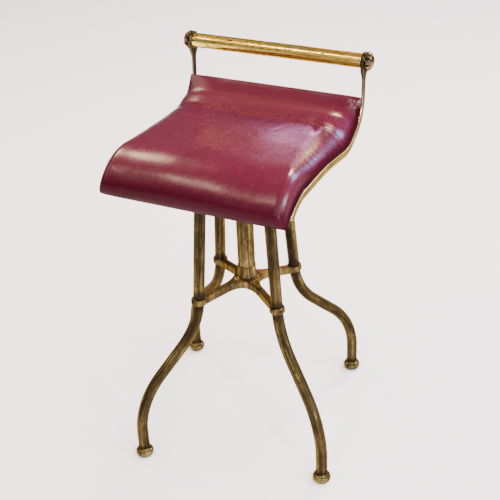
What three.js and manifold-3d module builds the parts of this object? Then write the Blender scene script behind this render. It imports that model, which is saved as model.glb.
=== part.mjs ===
// Revolving piano stool: a brass base of four bent legs round a screw column, and a seat that winds up
// and down on the screw, with bent side straps and a low back rail.
// Millimetres, +Z up. The origin is on the floor under the column, and the seat's front faces -Y.
import * as THREE from "three";
import { mergeVertices } from "three/addons/utils/BufferGeometryUtils.js";
import Module from "manifold-3d";

const wasm = await Module();
wasm.setup();

const degree = Math.PI / 180;
const quarterTurn = Math.PI / 2;

// Fits and cuts that all pieces share
const fit = 0.3; // gap between pieces that seat on each other
const overrun = 5; // how far a cutting body runs past what it cuts
const weld = 1e-4; // corners nearer than this are one corner

// Facets
const tubeSides = 12;
const boreSides = 8;
const turnedSides = 16;
const smallSides = 8;
const bendSteps = 7;

// Stance: the feet stand on a square that is turned a little against the seat
const stanceSide = 310;
const baseTurn = 11.34 * degree;
const footRadius = stanceSide / Math.SQRT2;

// Legs: corner points of the bent tube as distance from the column and height, rounded by the bends
const legRadius = 9.5;
const legWall = 1.6;
const kneeHeight = 110;
const kneeBend = 139;
const hipRadius = 97.6;
const hipHeight = 224.6;
const hipBend = 124;
const legTopRadius = 77.2;
const legTopHeight = 462;

// Button feet, as turned outlines
const footBall = 15;
const footBallHeight = 13.5;
const footSole = 8.5;
const footNeck = 11.4;
const footFlareHeight = 4.5;
const footFloor = 4;
const footArcSteps = 6;

// Column tube
const columnRadius = 14.3;
const columnWall = 1.6;

// Lower spider: four arms that rise from a collar round each leg to the hub
const armEndDrop = 3;
const spiderRise = 15.5;
const armDepth = 13.5;
const armHalfWidth = 5.7;
const armEdge = 2;
const spiderFillet = 34;
const spiderHub = 21;
const hubShoulder = 2.5;
const collarHeight = 272;
const collarWall = 2.7;
const collarLength = 11;
const collarStep = 1.2;
const collarLip = 2.2;
const filletSteps = 4;
const filletSweep = 50 * degree;

// Ferrule round the column's foot and cap under it
const ferruleHeight = 20;
const ferruleRing = 3;
const ferruleRingHeight = 3;
const ferruleThinShare = 0.55;
const ferruleSteps = 4;
const capRadius = 15.5;
const capDome = 5;
const capRim = 2.5;
const capSpigot = 9;

// Crown casting under the seat
const crownRise = 14; // from the legs' tops to the top of the casting
const crownHub = 24;
const crownHubLength = 38;
const crownArmDepth = 15;
const crownArmDrop = 12;
const crownFillet = 22;
const socketWall = 3;
const socketLength = 22;
const socketDome = 5;

// Pins through the collars and screws through the sockets
const pinRadius = 1.9;
const pinHead = 2.8;
const pinHeadHeight = 1.1;

// Lifting screw: a single coarse thread that turns in the lift nut
const lead = 8;
const liftTurns = 12;
const nutTurns = 4;
const crestRadius = 10;
const rootRadius = 7.6;
const toothRootShare = 0.52;
const toothCrestShare = 0.3;
const threadPlay = 0.25;
const stepsPerTurn = 8;
const toothSink = 0.8;
const lift = liftTurns * lead;
const nutLength = nutTurns * lead;

// Lift nut
const nutRadius = 15;
const nutFlange = 20;
const nutFlangeHeight = 4;

// Guide bush on the screw's foot, and the nut that keeps it
const guideLength = 16;
const guidePlay = 0.35;
const journalRadius = 6;
const liftSlack = 2;
const guideNutRadius = 9;
const guideNutHeight = 6;
const guideClearance = 10; // above the column's foot
const studRadius = 4.5;
const studTail = 2;

// Rest washer and seat plate
const restGap = 0.4;
const washerRadius = 18;
const washerHeight = 2;
const shankRadius = 8;
const bossRadius = 21;
const bossHeight = 14.6;
const bossFlare = 8;
const plateRadius = 70;
const plateHeight = 5;
const plateRim = 1.2;
const crossPinRadius = 2.4;
const crossPinRise = 6;
const plateScrewCircle = 54;
const screwRadius = 2.2;
const screwHead = 4.6;
const screwHeadHeight = 2.4;
const plateScrewGrip = 11;

// Seat line: the middle of the side straps seen from the side. Places back from the column and heights
// above the seat plate are corner points, rounded by the bends
const railBack = 139.5;
const railRise = 132;
const uprightBack = 133;
const uprightRise = 42;
const uprightBend = 55;
const dipBack = 75;
const dipRise = 8.6;
const dipBend = 60;
const crestFront = 17.3;
const crestRise = 20.6;
const crestBend = 400;
const lipFront = 128.7;
const lipBend = 69;
const noseFront = 162;
const noseDrop = 9.4;
const seatBendSteps = 6;
const nearShare = 0.2;

// Seat board of bent plywood and the block under it
const boardSideGap = 6.2; // to each strap
const boardThickness = 7;
const boardLift = 1;
const boardTopRise = 68;
const blockWidth = 150;
const blockDepth = 150;

// Side straps with their eyes
const seatWidth = 304.4;
const strapThickness = 3;
const strapDepth = 11.5;
const uprightDepth = 10.5;
const strapEdge = 0.8;
const strapEndGap = 15; // before the board's front end, where the leather covers it
const fullDepthShare = 0.36;
const eyeRadius = 14.8;
const eyeThickness = 6;
const neckLength = 27;
const eyeSteps = 20;

// Cross bars under the board
const barWidth = 16;
const barThickness = 3;
const frontBarShare = 0.745;
const backBarShare = 0.196;
const barScrewSpread = 95;
const barScrewGrip = 7;

// Back rail: tube, tie rod and end knobs
const railRadius = 11.8;
const railWall = 1.5;
const railSides = 22;
const rodRadius = 4;
const knobRadius = 15.2;
const knobLength = 12;
const knobRimLength = 3.5;
const knobBore = 8;
const knobFlutes = 8;
const knobFluteShare = 0.13;
const knobChamfer = 0.6;
const knobArcSteps = 4;

// Cushion: thickness over the board along the seat line, as shares of its fullest
const cushionGap = 0.8;
const cushionFull = 30;
const cushionCrown = 5;
const cushionSideRoll = 18;
const cushionSideRollShare = 0.7;
const cushionTopRoll = 36;
const cushionTuck = 5.5;
const cushionTopOver = 7.5;
const cushionNoseOver = 3;
const cushionStations = 34;
const cushionGatherShare = 0.6;
const cushionTangentShare = 0.002;
const cushionRollSteps = 4;
const cushionCrownSteps = 4;
const cushionEndRoll = 15;
const cushionEndShare = 0.25;
const fullnessShares = [0.56, 0.72, 0.85, 0.9, 0.88, 0.85, 0.87, 0.93, 0.98, 0.9, 0.72];

// Leather at the back of the board
const liningThickness = 1.4;

// Heights that follow from the sizes above
const legFootHeight = footFloor + fit;
const legLine = roundedLine(legCorners(legFootHeight, 1), [kneeBend, hipBend], bendSteps);
const legRadiusAt = (height) => legRunAt(height).radius;
const spiderReach = legRadiusAt(collarHeight);
const crownTop = legTopHeight + crownRise;
const spiderHeight = collarHeight - armEndDrop;
const spiderHeightAt = (out) => spiderHeight + spiderRise * (1 - out / spiderReach);
const hubBottom = spiderHeightAt(capRadius) - armDepth / 2;
const hubTop = spiderHeightAt(spiderHub) + armDepth / 2 + hubShoulder;
const nutBottom = crownTop + nutFlangeHeight - nutLength;
const nutTop = crownTop + nutFlangeHeight;
const washerBottom = nutTop + restGap;
const bossBottom = washerBottom + washerHeight;
const plateBottom = bossBottom + bossHeight;
const plateTop = plateBottom + plateHeight;
const journalTop = nutBottom - lift - liftSlack;
const guideTop = journalTop - fit;
const guideBottom = guideTop - guideLength;
const guideNutTop = guideBottom - fit;
const screwFoot = guideNutTop - guideNutHeight - studTail;
const columnFoot = Math.min(hubBottom, screwFoot - guideClearance - capSpigot);
const columnBore = columnRadius - columnWall;
const strapInside = seatWidth / 2 - strapThickness;
const strapMiddle = seatWidth / 2 - strapThickness / 2;
const boardWidth = 2 * (strapInside - boardSideGap);
const eyeInside = strapMiddle - eyeThickness / 2;
const eyeOutside = strapMiddle + eyeThickness / 2;

// Materials
const finish = (color, roughness, metalness) =>
  new THREE.MeshStandardMaterial({ color, roughness, metalness });
const agedBrass = finish(0x8a6a30, 0.38, 1);
const paleBrass = finish(0xb08c46, 0.3, 1);
const darkBrass = finish(0x4a3c26, 0.5, 1);
const iron = finish(0x3b3a38, 0.6, 0.8);
const steel = finish(0x77736c, 0.4, 1);
const leather = finish(0x6e1526, 0.35, 0);
const washerLeather = finish(0x5a3a22, 0.8, 0);
const plywood = finish(0xa9834f, 0.7, 0);
const beech = finish(0xb58f5c, 0.75, 0);

// Solids and geometry

function solidOf(geometry) {
  const bare = geometry.index ? geometry.toNonIndexed() : geometry.clone();
  bare.deleteAttribute("normal");
  bare.deleteAttribute("uv");
  const merged = mergeVertices(bare, weld);
  return new wasm.Manifold(
    new wasm.Mesh({
      numProp: 3,
      vertProperties: new Float32Array(merged.attributes.position.array),
      triVerts: new Uint32Array(merged.index.array),
    }),
  );
}

function geometryOf(solid) {
  const mesh = solid.getMesh();
  const geometry = new THREE.BufferGeometry();
  geometry.setAttribute("position", new THREE.BufferAttribute(mesh.vertProperties, mesh.numProp));
  geometry.setIndex(new THREE.BufferAttribute(mesh.triVerts, 1));
  geometry.computeVertexNormals();
  return geometry;
}

function cut(geometry, ...tools) {
  return geometryOf(tools.reduce((left, tool) => left.subtract(solidOf(tool)), solidOf(geometry)));
}

function join(...geometries) {
  return geometryOf(geometries.map(solidOf).reduce((sum, next) => sum.add(next)));
}

// A polygon whose corners lie on the circle, or whose flats do where it is a hole.
function ring(radius, sides, hole = false) {
  const reach = hole ? radius / Math.cos(Math.PI / sides) : radius;
  const corners = [];
  for (let i = 0; i < sides; i++) {
    const angle = (2 * Math.PI * i) / sides;
    corners.push(new THREE.Vector2(reach * Math.cos(angle), reach * Math.sin(angle)));
  }
  return corners;
}

function tubeSection(outer, inner) {
  const section = new THREE.Shape(ring(outer, tubeSides));
  if (inner > 0) section.holes.push(new THREE.Path(ring(inner, boreSides, true)));
  return section;
}

// A turned body about +Z from an outline of [radius, height] that runs upwards outside.
function turned(outline, sides = turnedSides) {
  const points = outline.map(([radius, height]) => new THREE.Vector2(radius, height));
  return new THREE.LatheGeometry(points, sides).rotateX(quarterTurn);
}

// A round bar or drill along +Z. A drill's flats stand at its radius.
function rod(radius, bottom, top, sides = turnedSides, drill = false) {
  const shape = new THREE.Shape(ring(radius, sides, drill));
  const bar = new THREE.ExtrudeGeometry(shape, { depth: top - bottom, bevelEnabled: false });
  return bar.translate(0, 0, bottom);
}

// A flat line through corner points, with an arc of its own radius at each corner between the ends.
function roundedLine(corners, radii, steps) {
  const points = [corners[0]];
  radii.forEach((radius, i) => {
    const corner = corners[i + 1];
    const back = corners[i].clone().sub(corner).normalize();
    const ahead = corners[i + 2].clone().sub(corner).normalize();
    const half = Math.acos(back.dot(ahead)) / 2;
    const towards = back.clone().add(ahead).normalize();
    const centre = corner.clone().addScaledVector(towards, radius / Math.sin(half));
    const start = corner.clone().addScaledVector(back, radius / Math.tan(half)).sub(centre);
    const swing = Math.sign(ahead.cross(back)) * (Math.PI - 2 * half);
    for (let k = 0; k <= steps; k++) {
      points.push(start.clone().rotateAround(new THREE.Vector2(), (swing * k) / steps).add(centre));
    }
  });
  points.push(corners[corners.length - 1]);
  return points;
}

function lineLength(line) {
  return line.slice(1).reduce((sum, point, i) => sum + point.distanceTo(line[i]), 0);
}

// The stretch of a flat line between two distances along it, without the corners that are nearly at an end.
function stretch(line, from, to) {
  const points = [];
  let gone = 0;
  for (let i = 1; i < line.length; i++) {
    const step = line[i].distanceTo(line[i - 1]);
    const at = (distance) => line[i - 1].clone().lerp(line[i], (distance - gone) / step);
    if (from >= gone && from < gone + step) points.push(at(from));
    const spare = step * nearShare;
    if (gone + step > from + spare && gone + step < to - spare) points.push(line[i].clone());
    if (to > gone && to <= gone + step) points.push(at(to));
    gone += step;
  }
  return points;
}

// The unit normal at each point of a flat line, to the right of its run.
function normals(line) {
  return line.map((point, i) => {
    const last = line[Math.max(i - 1, 0)];
    const next = line[Math.min(i + 1, line.length - 1)];
    const run = next.clone().sub(last).normalize();
    return new THREE.Vector2(run.y, -run.x);
  });
}

function offset(line, distances) {
  const sides = normals(line);
  return line.map((point, i) => {
    const distance = Array.isArray(distances) ? distances[i] : distances;
    return point.clone().addScaledVector(sides[i], distance);
  });
}

// The area between two offsets of a flat line.
function band(line, low, high) {
  return new THREE.Shape([...offset(line, high), ...offset(line, low).reverse()]);
}

// Turns an upright drawing of (back, height) that is extruded along +Z into one extruded along +X.
function acrossSeat(geometry, from) {
  const x = new THREE.Vector3(1, 0, 0);
  const y = new THREE.Vector3(0, 1, 0);
  const z = new THREE.Vector3(0, 0, 1);
  return geometry.applyMatrix4(new THREE.Matrix4().makeBasis(y, z, x)).translate(from, 0, 0);
}

function sideExtrusion(shape, from, to) {
  const geometry = new THREE.ExtrudeGeometry(shape, { depth: to - from, bevelEnabled: false });
  return acrossSeat(geometry, from);
}

// A closed body through rings of corners, each ring clockwise as seen along the run of the rings.
function loft(rings) {
  const size = rings[0].length;
  const faces = [];
  for (let i = 0; i < rings.length - 1; i++) {
    for (let k = 0; k < size; k++) {
      const a = i * size + k;
      const b = i * size + ((k + 1) % size);
      faces.push(a, b, b + size, a, b + size, a + size);
    }
  }
  const last = (rings.length - 1) * size;
  for (let k = 1; k < size - 1; k++) {
    faces.push(0, k + 1, k, last, last + k, last + k + 1);
  }
  const geometry = new THREE.BufferGeometry().setFromPoints(rings.flat());
  geometry.setIndex(faces);
  return geometry;
}

// Legs

function legCorners(fromHeight, topShare) {
  const hip = new THREE.Vector2(hipRadius, hipHeight);
  const top = new THREE.Vector2(legTopRadius, legTopHeight);
  return [
    new THREE.Vector2(footRadius, fromHeight),
    new THREE.Vector2(footRadius, kneeHeight),
    hip,
    hip.clone().lerp(top, topShare),
  ];
}

// A polyline that a section is drawn along, one step for each of its points.
class BentLine extends THREE.Curve {
  constructor(points) {
    super();
    this.points = points.map((point) => new THREE.Vector3(point.x, 0, point.y));
  }
  getUtoTmapping(share) {
    return share;
  }
  getPoint(share, target = new THREE.Vector3()) {
    const place = share * (this.points.length - 1);
    const first = Math.min(Math.floor(place + 1e-6), this.points.length - 2);
    return target.lerpVectors(this.points[first], this.points[first + 1], place - first);
  }
  getTangent(share, target = new THREE.Vector3()) {
    const place = Math.round(share * (this.points.length - 1));
    const next = this.points[Math.min(place + 1, this.points.length - 1)];
    const last = this.points[Math.max(place - 1, 0)];
    return target.subVectors(next, last).normalize();
  }
}

function bentTube(section, line) {
  return new THREE.ExtrudeGeometry(section, {
    steps: line.length - 1,
    extrudePath: new BentLine(line),
  });
}

function legTube() {
  return bentTube(tubeSection(legRadius, legRadius - legWall), legLine);
}

// What a collar or a socket clears for the leg.
function legDrill() {
  const hip = new THREE.Vector2(hipRadius, hipHeight);
  const reach = hip.distanceTo(new THREE.Vector2(legTopRadius, legTopHeight));
  const section = new THREE.Shape(ring(legRadius + fit, tubeSides));
  const corners = legCorners(legFootHeight, (reach + fit) / reach);
  return bentTube(section, roundedLine(corners, [kneeBend, hipBend], bendSteps));
}

// How far the leg's line stands from the column at a height, and how far it leans there.
function legRunAt(height) {
  const above = legLine.findIndex((point) => point.y >= height);
  const next = above < 0 ? legLine.length - 1 : above;
  const [from, to] = [legLine[next - 1], legLine[next]];
  const lean = Math.atan((from.x - to.x) / (to.y - from.y));
  return { lean, radius: to.x + (to.y - height) * Math.tan(lean) };
}

// A body drawn about +Z and set on the leg's line at a height.
function onLeg(geometry, height) {
  const { lean, radius } = legRunAt(height);
  return geometry.rotateY(-lean).translate(radius, 0, height);
}

// Feet

function footBody() {
  const outline = [[0, 0]];
  for (let i = 0; i <= footArcSteps; i++) {
    const share = i / footArcSteps;
    const base = footSole + (footNeck - footSole) * share;
    const bulge = (footBall - (footSole + footNeck) / 2) * Math.sin(Math.PI * share);
    outline.push([base + bulge, (footBallHeight * (1 - Math.cos(Math.PI * share))) / 2]);
  }
  const bore = legRadius + fit;
  outline.push([bore + legWall / 2, footBallHeight + footFlareHeight]);
  outline.push([bore, footBallHeight + footFlareHeight]);
  outline.push([bore, footFloor]);
  outline.push([0, footFloor]);
  return turned(outline).translate(footRadius, 0, 0);
}

// Castings with four arms

// An arm along +X that rises from its reach towards the hub and widens there through fillets. Its fillets
// go a little past the diagonal, where the next arm takes over.
function castArm(reach, fillet, depth, height, rise) {
  const section = (out, half) => {
    const middle = height + rise * (1 - out / reach);
    const corner = (across, up) => new THREE.Vector3(out, across, middle + up);
    const side = half - armEdge;
    const level = depth / 2 - armEdge;
    return [
      corner(half, -level),
      corner(half, level),
      corner(side, depth / 2),
      corner(-side, depth / 2),
      corner(-half, level),
      corner(-half, -level),
      corner(-side, -depth / 2),
      corner(side, -depth / 2),
    ];
  };
  const sections = [];
  for (let i = filletSteps; i >= 0; i--) {
    const angle = (filletSweep * i) / filletSteps;
    const out = armHalfWidth + fillet * (1 - Math.sin(angle));
    sections.push(section(out, armHalfWidth + fillet * (1 - Math.cos(angle))));
  }
  sections.push(section(reach, armHalfWidth));
  return loft(sections);
}

// One copy of a body for each leg, about the column.
function roundColumn(make) {
  return [0, 1, 2, 3].map((arm) => make().rotateZ(arm * quarterTurn));
}

function collar() {
  const outer = legRadius + collarWall;
  const half = collarLength / 2;
  const body = turned([
    [0, -half],
    [outer, -half],
    [outer, half - collarLip],
    [outer - collarStep, half - collarLip],
    [outer - collarStep, half],
    [0, half],
  ]);
  return onLeg(body, collarHeight);
}

function collarPinHole() {
  const hole = rod(pinRadius + fit, 0, legRadius + collarWall + overrun, smallSides, true);
  return onLeg(hole.rotateY(quarterTurn), collarHeight);
}

function lowerSpider() {
  const arm = () => castArm(spiderReach, spiderFillet, armDepth, spiderHeight, spiderRise);
  const hub = turned([
    [0, hubBottom],
    [spiderHub - armEdge / 2, hubBottom],
    [spiderHub, hubBottom + armEdge / 2],
    [spiderHub, hubTop - hubShoulder],
    [spiderHub - hubShoulder, hubTop],
    [0, hubTop],
  ]);
  const body = join(hub, ...roundColumn(arm), ...roundColumn(collar));
  const bore = rod(columnRadius + fit, hubBottom - overrun, hubTop + overrun, turnedSides, true);
  return cut(body, bore, ...roundColumn(legDrill), ...roundColumn(collarPinHole));
}

function socket() {
  const outer = legRadius + socketWall;
  const body = turned([
    [0, -socketLength],
    [outer - collarStep, -socketLength],
    [outer, collarStep - socketLength],
    [outer, 0],
    [outer * Math.cos(quarterTurn / 2), socketDome * Math.sin(quarterTurn / 2)],
    [0, socketDome],
  ]);
  return onLeg(body, legTopHeight + fit);
}

const socketScrewHeight = legTopHeight - socketLength / 2;

function socketScrewHole() {
  const hole = rod(pinRadius + fit, 0, legRadius + socketWall + overrun, smallSides, true);
  return onLeg(hole.rotateY(quarterTurn), socketScrewHeight);
}

function crownCasting() {
  const armHeight = crownTop - crownArmDrop - crownArmDepth / 2;
  const arm = () => castArm(legRadiusAt(armHeight), crownFillet, crownArmDepth, armHeight, 0);
  const hub = turned([
    [0, crownTop - crownHubLength],
    [crownHub - armEdge, crownTop - crownHubLength],
    [crownHub, crownTop - crownHubLength + armEdge],
    [crownHub, crownTop - armEdge],
    [crownHub - armEdge, crownTop],
    [0, crownTop],
  ]);
  const body = join(hub, ...roundColumn(arm), ...roundColumn(socket));
  const columnSeat = rod(columnRadius + fit, crownTop - crownHubLength - overrun, nutBottom, turnedSides, true);
  const nutSeat = rod(nutRadius + fit, nutBottom - fit, crownTop + overrun, turnedSides, true);
  return cut(body, columnSeat, nutSeat, ...roundColumn(legDrill), ...roundColumn(socketScrewHole));
}

// A pin with a low round head, drawn along +X with its foot in the leg's wall.
function headedPin(seatRadius) {
  const foot = legRadius + fit;
  const body = turned(
    [
      [0, foot],
      [pinRadius, foot],
      [pinRadius, seatRadius + fit],
      [pinHead, seatRadius + fit],
      [pinHead * Math.cos(quarterTurn / 2), seatRadius + fit + pinHeadHeight * Math.sin(quarterTurn / 2)],
      [0, seatRadius + fit + pinHeadHeight],
    ],
    smallSides,
  );
  return body.rotateY(quarterTurn);
}

function collarPin() {
  return onLeg(headedPin(legRadius + collarWall), collarHeight);
}

function socketScrew() {
  return onLeg(headedPin(legRadius + socketWall), socketScrewHeight);
}

// Column

function columnTube() {
  const section = new THREE.Shape(ring(columnRadius, turnedSides));
  section.holes.push(new THREE.Path(ring(columnBore, turnedSides, true)));
  const bottom = columnFoot + fit;
  const depth = nutBottom - fit - bottom;
  const tube = new THREE.ExtrudeGeometry(section, { depth, bevelEnabled: false });
  return tube.translate(0, 0, bottom);
}

// The moulding that spreads from the column onto the spider.
function columnFerrule() {
  const inner = (columnRadius + fit) / Math.cos(Math.PI / turnedSides);
  const thin = inner + ferruleRing / 4;
  const wide = columnRadius + ferruleRing;
  const shoulder = thin + (wide - thin) * ferruleThinShare;
  const throat = ferruleHeight - ferruleRingHeight;
  const outline = [
    [inner, hubTop],
    [wide, hubTop],
    [wide, hubTop + ferruleRingHeight / 2],
    [wide - ferruleRing / 4, hubTop + ferruleRingHeight],
  ];
  for (let i = 0; i <= ferruleSteps; i++) {
    const share = i / ferruleSteps;
    const radius = thin + (shoulder - thin) * (1 - share) ** 2;
    outline.push([radius, hubTop + ferruleRingHeight + throat * share]);
  }
  outline.push([inner, hubTop + ferruleHeight]);
  outline.push([inner, hubTop]);
  return turned(outline);
}

function columnCap() {
  const spigot = columnBore - fit;
  const rimBottom = columnFoot - capRim;
  const dome = (share) => [
    capRadius * Math.sin(quarterTurn * share),
    rimBottom - capDome * Math.cos(quarterTurn * share),
  ];
  return turned([
    [0, rimBottom - capDome],
    dome(1 / 3),
    dome(2 / 3),
    [capRadius, rimBottom],
    [capRadius, columnFoot],
    [spigot, columnFoot],
    [spigot, columnFoot + capSpigot],
    [0, columnFoot + capSpigot],
  ]);
}

// Lifting screw and nut

// A right-hand helical tooth, one closed body from one height to another. The grow value widens it all
// round, for the groove that it runs in.
function helicalTooth(bottom, turns, grow) {
  const steps = Math.round(turns * stepsPerTurn);
  const stretchOut = grow > 0 ? 1 / Math.cos(Math.PI / stepsPerTurn) : 1;
  const inner = rootRadius - toothSink;
  const outer = (crestRadius + grow) * stretchOut;
  const rootHalf = (lead * toothRootShare) / 2 + grow;
  const crestHalf = (lead * toothCrestShare) / 2 + grow;
  const section = [
    [inner, -rootHalf],
    [inner, rootHalf],
    [outer, crestHalf],
    [outer, -crestHalf],
  ];
  const sections = [];
  for (let i = 0; i <= steps; i++) {
    const angle = (2 * Math.PI * i) / stepsPerTurn;
    const rise = bottom + (lead * i) / stepsPerTurn;
    sections.push(
      section.map(
        ([radius, height]) =>
          new THREE.Vector3(radius * Math.cos(angle), radius * Math.sin(angle), rise + height),
      ),
    );
  }
  return loft(sections);
}

const threadStart = journalTop + (lead * toothRootShare) / 2 + fit;

function liftScrew() {
  const core = turned(
    [
      [0, screwFoot],
      [studRadius, screwFoot],
      [studRadius, guideNutTop],
      [journalRadius, guideNutTop],
      [journalRadius, journalTop],
      [rootRadius, journalTop],
      [rootRadius, nutTop],
      [shankRadius, nutTop],
      [shankRadius, plateTop - fit],
      [0, plateTop - fit],
    ],
    stepsPerTurn,
  );
  const turns = (nutTop - (lead * toothRootShare) / 2 - threadStart) / lead;
  const threaded = join(core, helicalTooth(threadStart, turns, 0));
  return cut(threaded, crossPinHole());
}

function crossPinHole() {
  const reach = bossRadius + overrun;
  const hole = rod(crossPinRadius + fit, -reach, reach, smallSides, true);
  return hole.rotateX(quarterTurn).translate(0, 0, bossBottom + crossPinRise);
}

function liftNut() {
  const blank = turned([
    [0, nutBottom],
    [nutRadius, nutBottom],
    [nutRadius, crownTop],
    [nutFlange, crownTop],
    [nutFlange, nutTop - armEdge / 2],
    [nutFlange - armEdge / 2, nutTop],
    [0, nutTop],
  ]);
  const bore = rod(rootRadius + threadPlay, nutBottom - overrun, nutTop + overrun, stepsPerTurn, true);
  const early = Math.ceil((nutBottom - overrun - threadStart) / lead);
  const groove = helicalTooth(threadStart + (early - 1) * lead, nutTurns + 3, threadPlay);
  return cut(blank, bore, groove);
}

function guideBush() {
  const outer = columnBore - guidePlay;
  const inner = (journalRadius + guidePlay) / Math.cos(Math.PI / turnedSides);
  const edge = guidePlay * 2;
  return turned([
    [inner, guideBottom],
    [outer - edge, guideBottom],
    [outer, guideBottom + edge],
    [outer, guideTop - edge],
    [outer - edge, guideTop],
    [inner, guideTop],
    [inner, guideBottom],
  ]);
}

function guideNut() {
  const nut = new THREE.Shape(ring(guideNutRadius, 6));
  nut.holes.push(new THREE.Path(ring(studRadius + fit, stepsPerTurn, true)));
  const body = new THREE.ExtrudeGeometry(nut, { depth: guideNutHeight, bevelEnabled: false });
  return body.translate(0, 0, guideNutTop - guideNutHeight);
}

function restWasher() {
  const washer = new THREE.Shape(ring(washerRadius, turnedSides));
  washer.holes.push(new THREE.Path(ring(shankRadius + fit, turnedSides, true)));
  const body = new THREE.ExtrudeGeometry(washer, { depth: washerHeight, bevelEnabled: false });
  return body.translate(0, 0, washerBottom);
}

// Seat plate, its pin and screws

// Places of the plate's screws, between its front, back and sides.
const plateScrewPlaces = [1, 3, 5, 7].map((eighth) =>
  new THREE.Vector2(plateScrewCircle, 0).rotateAround(new THREE.Vector2(), (eighth * quarterTurn) / 2),
);

function seatPlate() {
  const shank = (shankRadius + fit) / Math.cos(Math.PI / turnedSides);
  const body = turned([
    [shank, bossBottom],
    [bossRadius, bossBottom],
    [bossRadius, plateBottom - bossFlare],
    [bossRadius + bossFlare / 3, plateBottom - bossFlare / 3],
    [bossRadius + bossFlare, plateBottom],
    [plateRadius - plateRim, plateBottom],
    [plateRadius, plateBottom + plateRim],
    [plateRadius, plateTop],
    [shank, plateTop],
    [shank, bossBottom],
  ]);
  const holes = plateScrewPlaces.map((place) =>
    rod(screwRadius + fit, plateBottom - overrun, plateTop + overrun, smallSides, true).translate(
      place.x,
      place.y,
      0,
    ),
  );
  return cut(body, crossPinHole(), ...holes);
}

function screwPin() {
  const pin = rod(crossPinRadius, -bossRadius, bossRadius, smallSides);
  return pin.rotateX(quarterTurn).translate(0, 0, bossBottom + crossPinRise);
}

// A wood screw along +Z with a round head under the face it holds, which is at height zero.
function woodScrew(grip) {
  return turned(
    [
      [0, -screwHeadHeight - fit],
      [screwHead * Math.cos(quarterTurn / 2), -fit - screwHeadHeight * Math.sin(quarterTurn / 2)],
      [screwHead, -fit],
      [screwRadius, -fit],
      [screwRadius, grip],
      [0, grip + screwRadius],
    ],
    smallSides,
  );
}

// Seat line

function seatLine() {
  const corner = (back, rise) => new THREE.Vector2(back, plateTop + rise);
  return roundedLine(
    [
      corner(railBack, railRise),
      corner(uprightBack, uprightRise),
      corner(dipBack, dipRise),
      corner(-crestFront, crestRise),
      corner(-lipFront, crestRise),
      corner(-noseFront, -noseDrop),
    ],
    [uprightBend, dipBend, crestBend, lipBend],
    seatBendSteps,
  );
}

const line = seatLine();
const lineEnd = lineLength(line);
// Distance along the seat line to the board's top end, in the straight upright
const boardStart = railRise - boardTopRise;
const boardLine = stretch(line, boardStart, lineEnd);
const boardLow = boardLift - boardThickness / 2;
const boardHigh = boardLift + boardThickness / 2;

function seatBoard() {
  const body = sideExtrusion(band(boardLine, boardLow, boardHigh), -boardWidth / 2, boardWidth / 2);
  const holes = boardScrews().map(({ hole }) => hole);
  return cut(body, ...holes);
}

function seatBlock() {
  const block = new THREE.BoxGeometry(blockWidth, blockDepth, uprightRise);
  block.translate(0, 0, plateTop + uprightRise / 2);
  const under = offset(boardLine, boardLow - fit);
  const high = plateTop + railRise;
  const back = new THREE.Vector2(under[0].x, high);
  const front = new THREE.Vector2(under[under.length - 1].x, high);
  const above = sideExtrusion(new THREE.Shape([...under, front, back]), -boardWidth, boardWidth);
  const holes = plateScrewPlaces.map((place) =>
    rod(screwRadius + fit, plateTop - overrun, plateBottom + plateScrewGrip + overrun, smallSides, true)
      .translate(place.x, place.y, 0),
  );
  return cut(block, above, ...holes);
}

// Cross bars under the board, and the screws that hold the board to them

// A bar is flat, so it runs straight between two points of the seat line.
function barSpan(share) {
  const middle = boardStart + (lineEnd - boardStart) * share;
  return [pointAt(line, middle - barWidth / 2), pointAt(line, middle + barWidth / 2)];
}

function crossBar(share) {
  const high = boardLow - fit;
  const reach = strapInside - fit;
  const body = sideExtrusion(band(barSpan(share), high - barThickness, high), -reach, reach);
  const holes = boardScrews()
    .filter((screw) => screw.share === share)
    .map(({ hole }) => hole);
  return cut(body, ...holes);
}

// Each screw stands square to the seat line at its bar's middle, its head under the bar.
function boardScrews() {
  const screws = [];
  [frontBarShare, backBarShare].forEach((share) => {
    const span = barSpan(share);
    const start = span[0];
    const run = span[1].clone().sub(start);
    const up = new THREE.Vector2(run.y, -run.x).normalize();
    const face = start.clone().addScaledVector(run, 1 / 2).addScaledVector(up, boardLow - fit - barThickness);
    const tilt = Math.atan2(up.x, up.y);
    [-1, 1].forEach((side) => {
      const place = (geometry) =>
        geometry.rotateX(-tilt).translate(side * barScrewSpread, face.x, face.y);
      screws.push({
        share,
        side,
        body: place(woodScrew(barThickness + barScrewGrip - screwRadius)),
        hole: place(rod(screwRadius + fit, -overrun, barThickness + barScrewGrip + fit, smallSides, true)),
      });
    });
  });
  return screws;
}

// Side straps

// The strap's depth thins from the seat into the upright.
function strapHalfDepths(points) {
  const full = lineEnd * fullDepthShare;
  let gone = 0;
  return points.map((point, i) => {
    gone += i > 0 ? point.distanceTo(points[i - 1]) : 0;
    const share = THREE.MathUtils.smoothstep(gone, boardStart / 2, full);
    return (uprightDepth + (strapDepth - uprightDepth) * share) / 2;
  });
}

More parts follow.
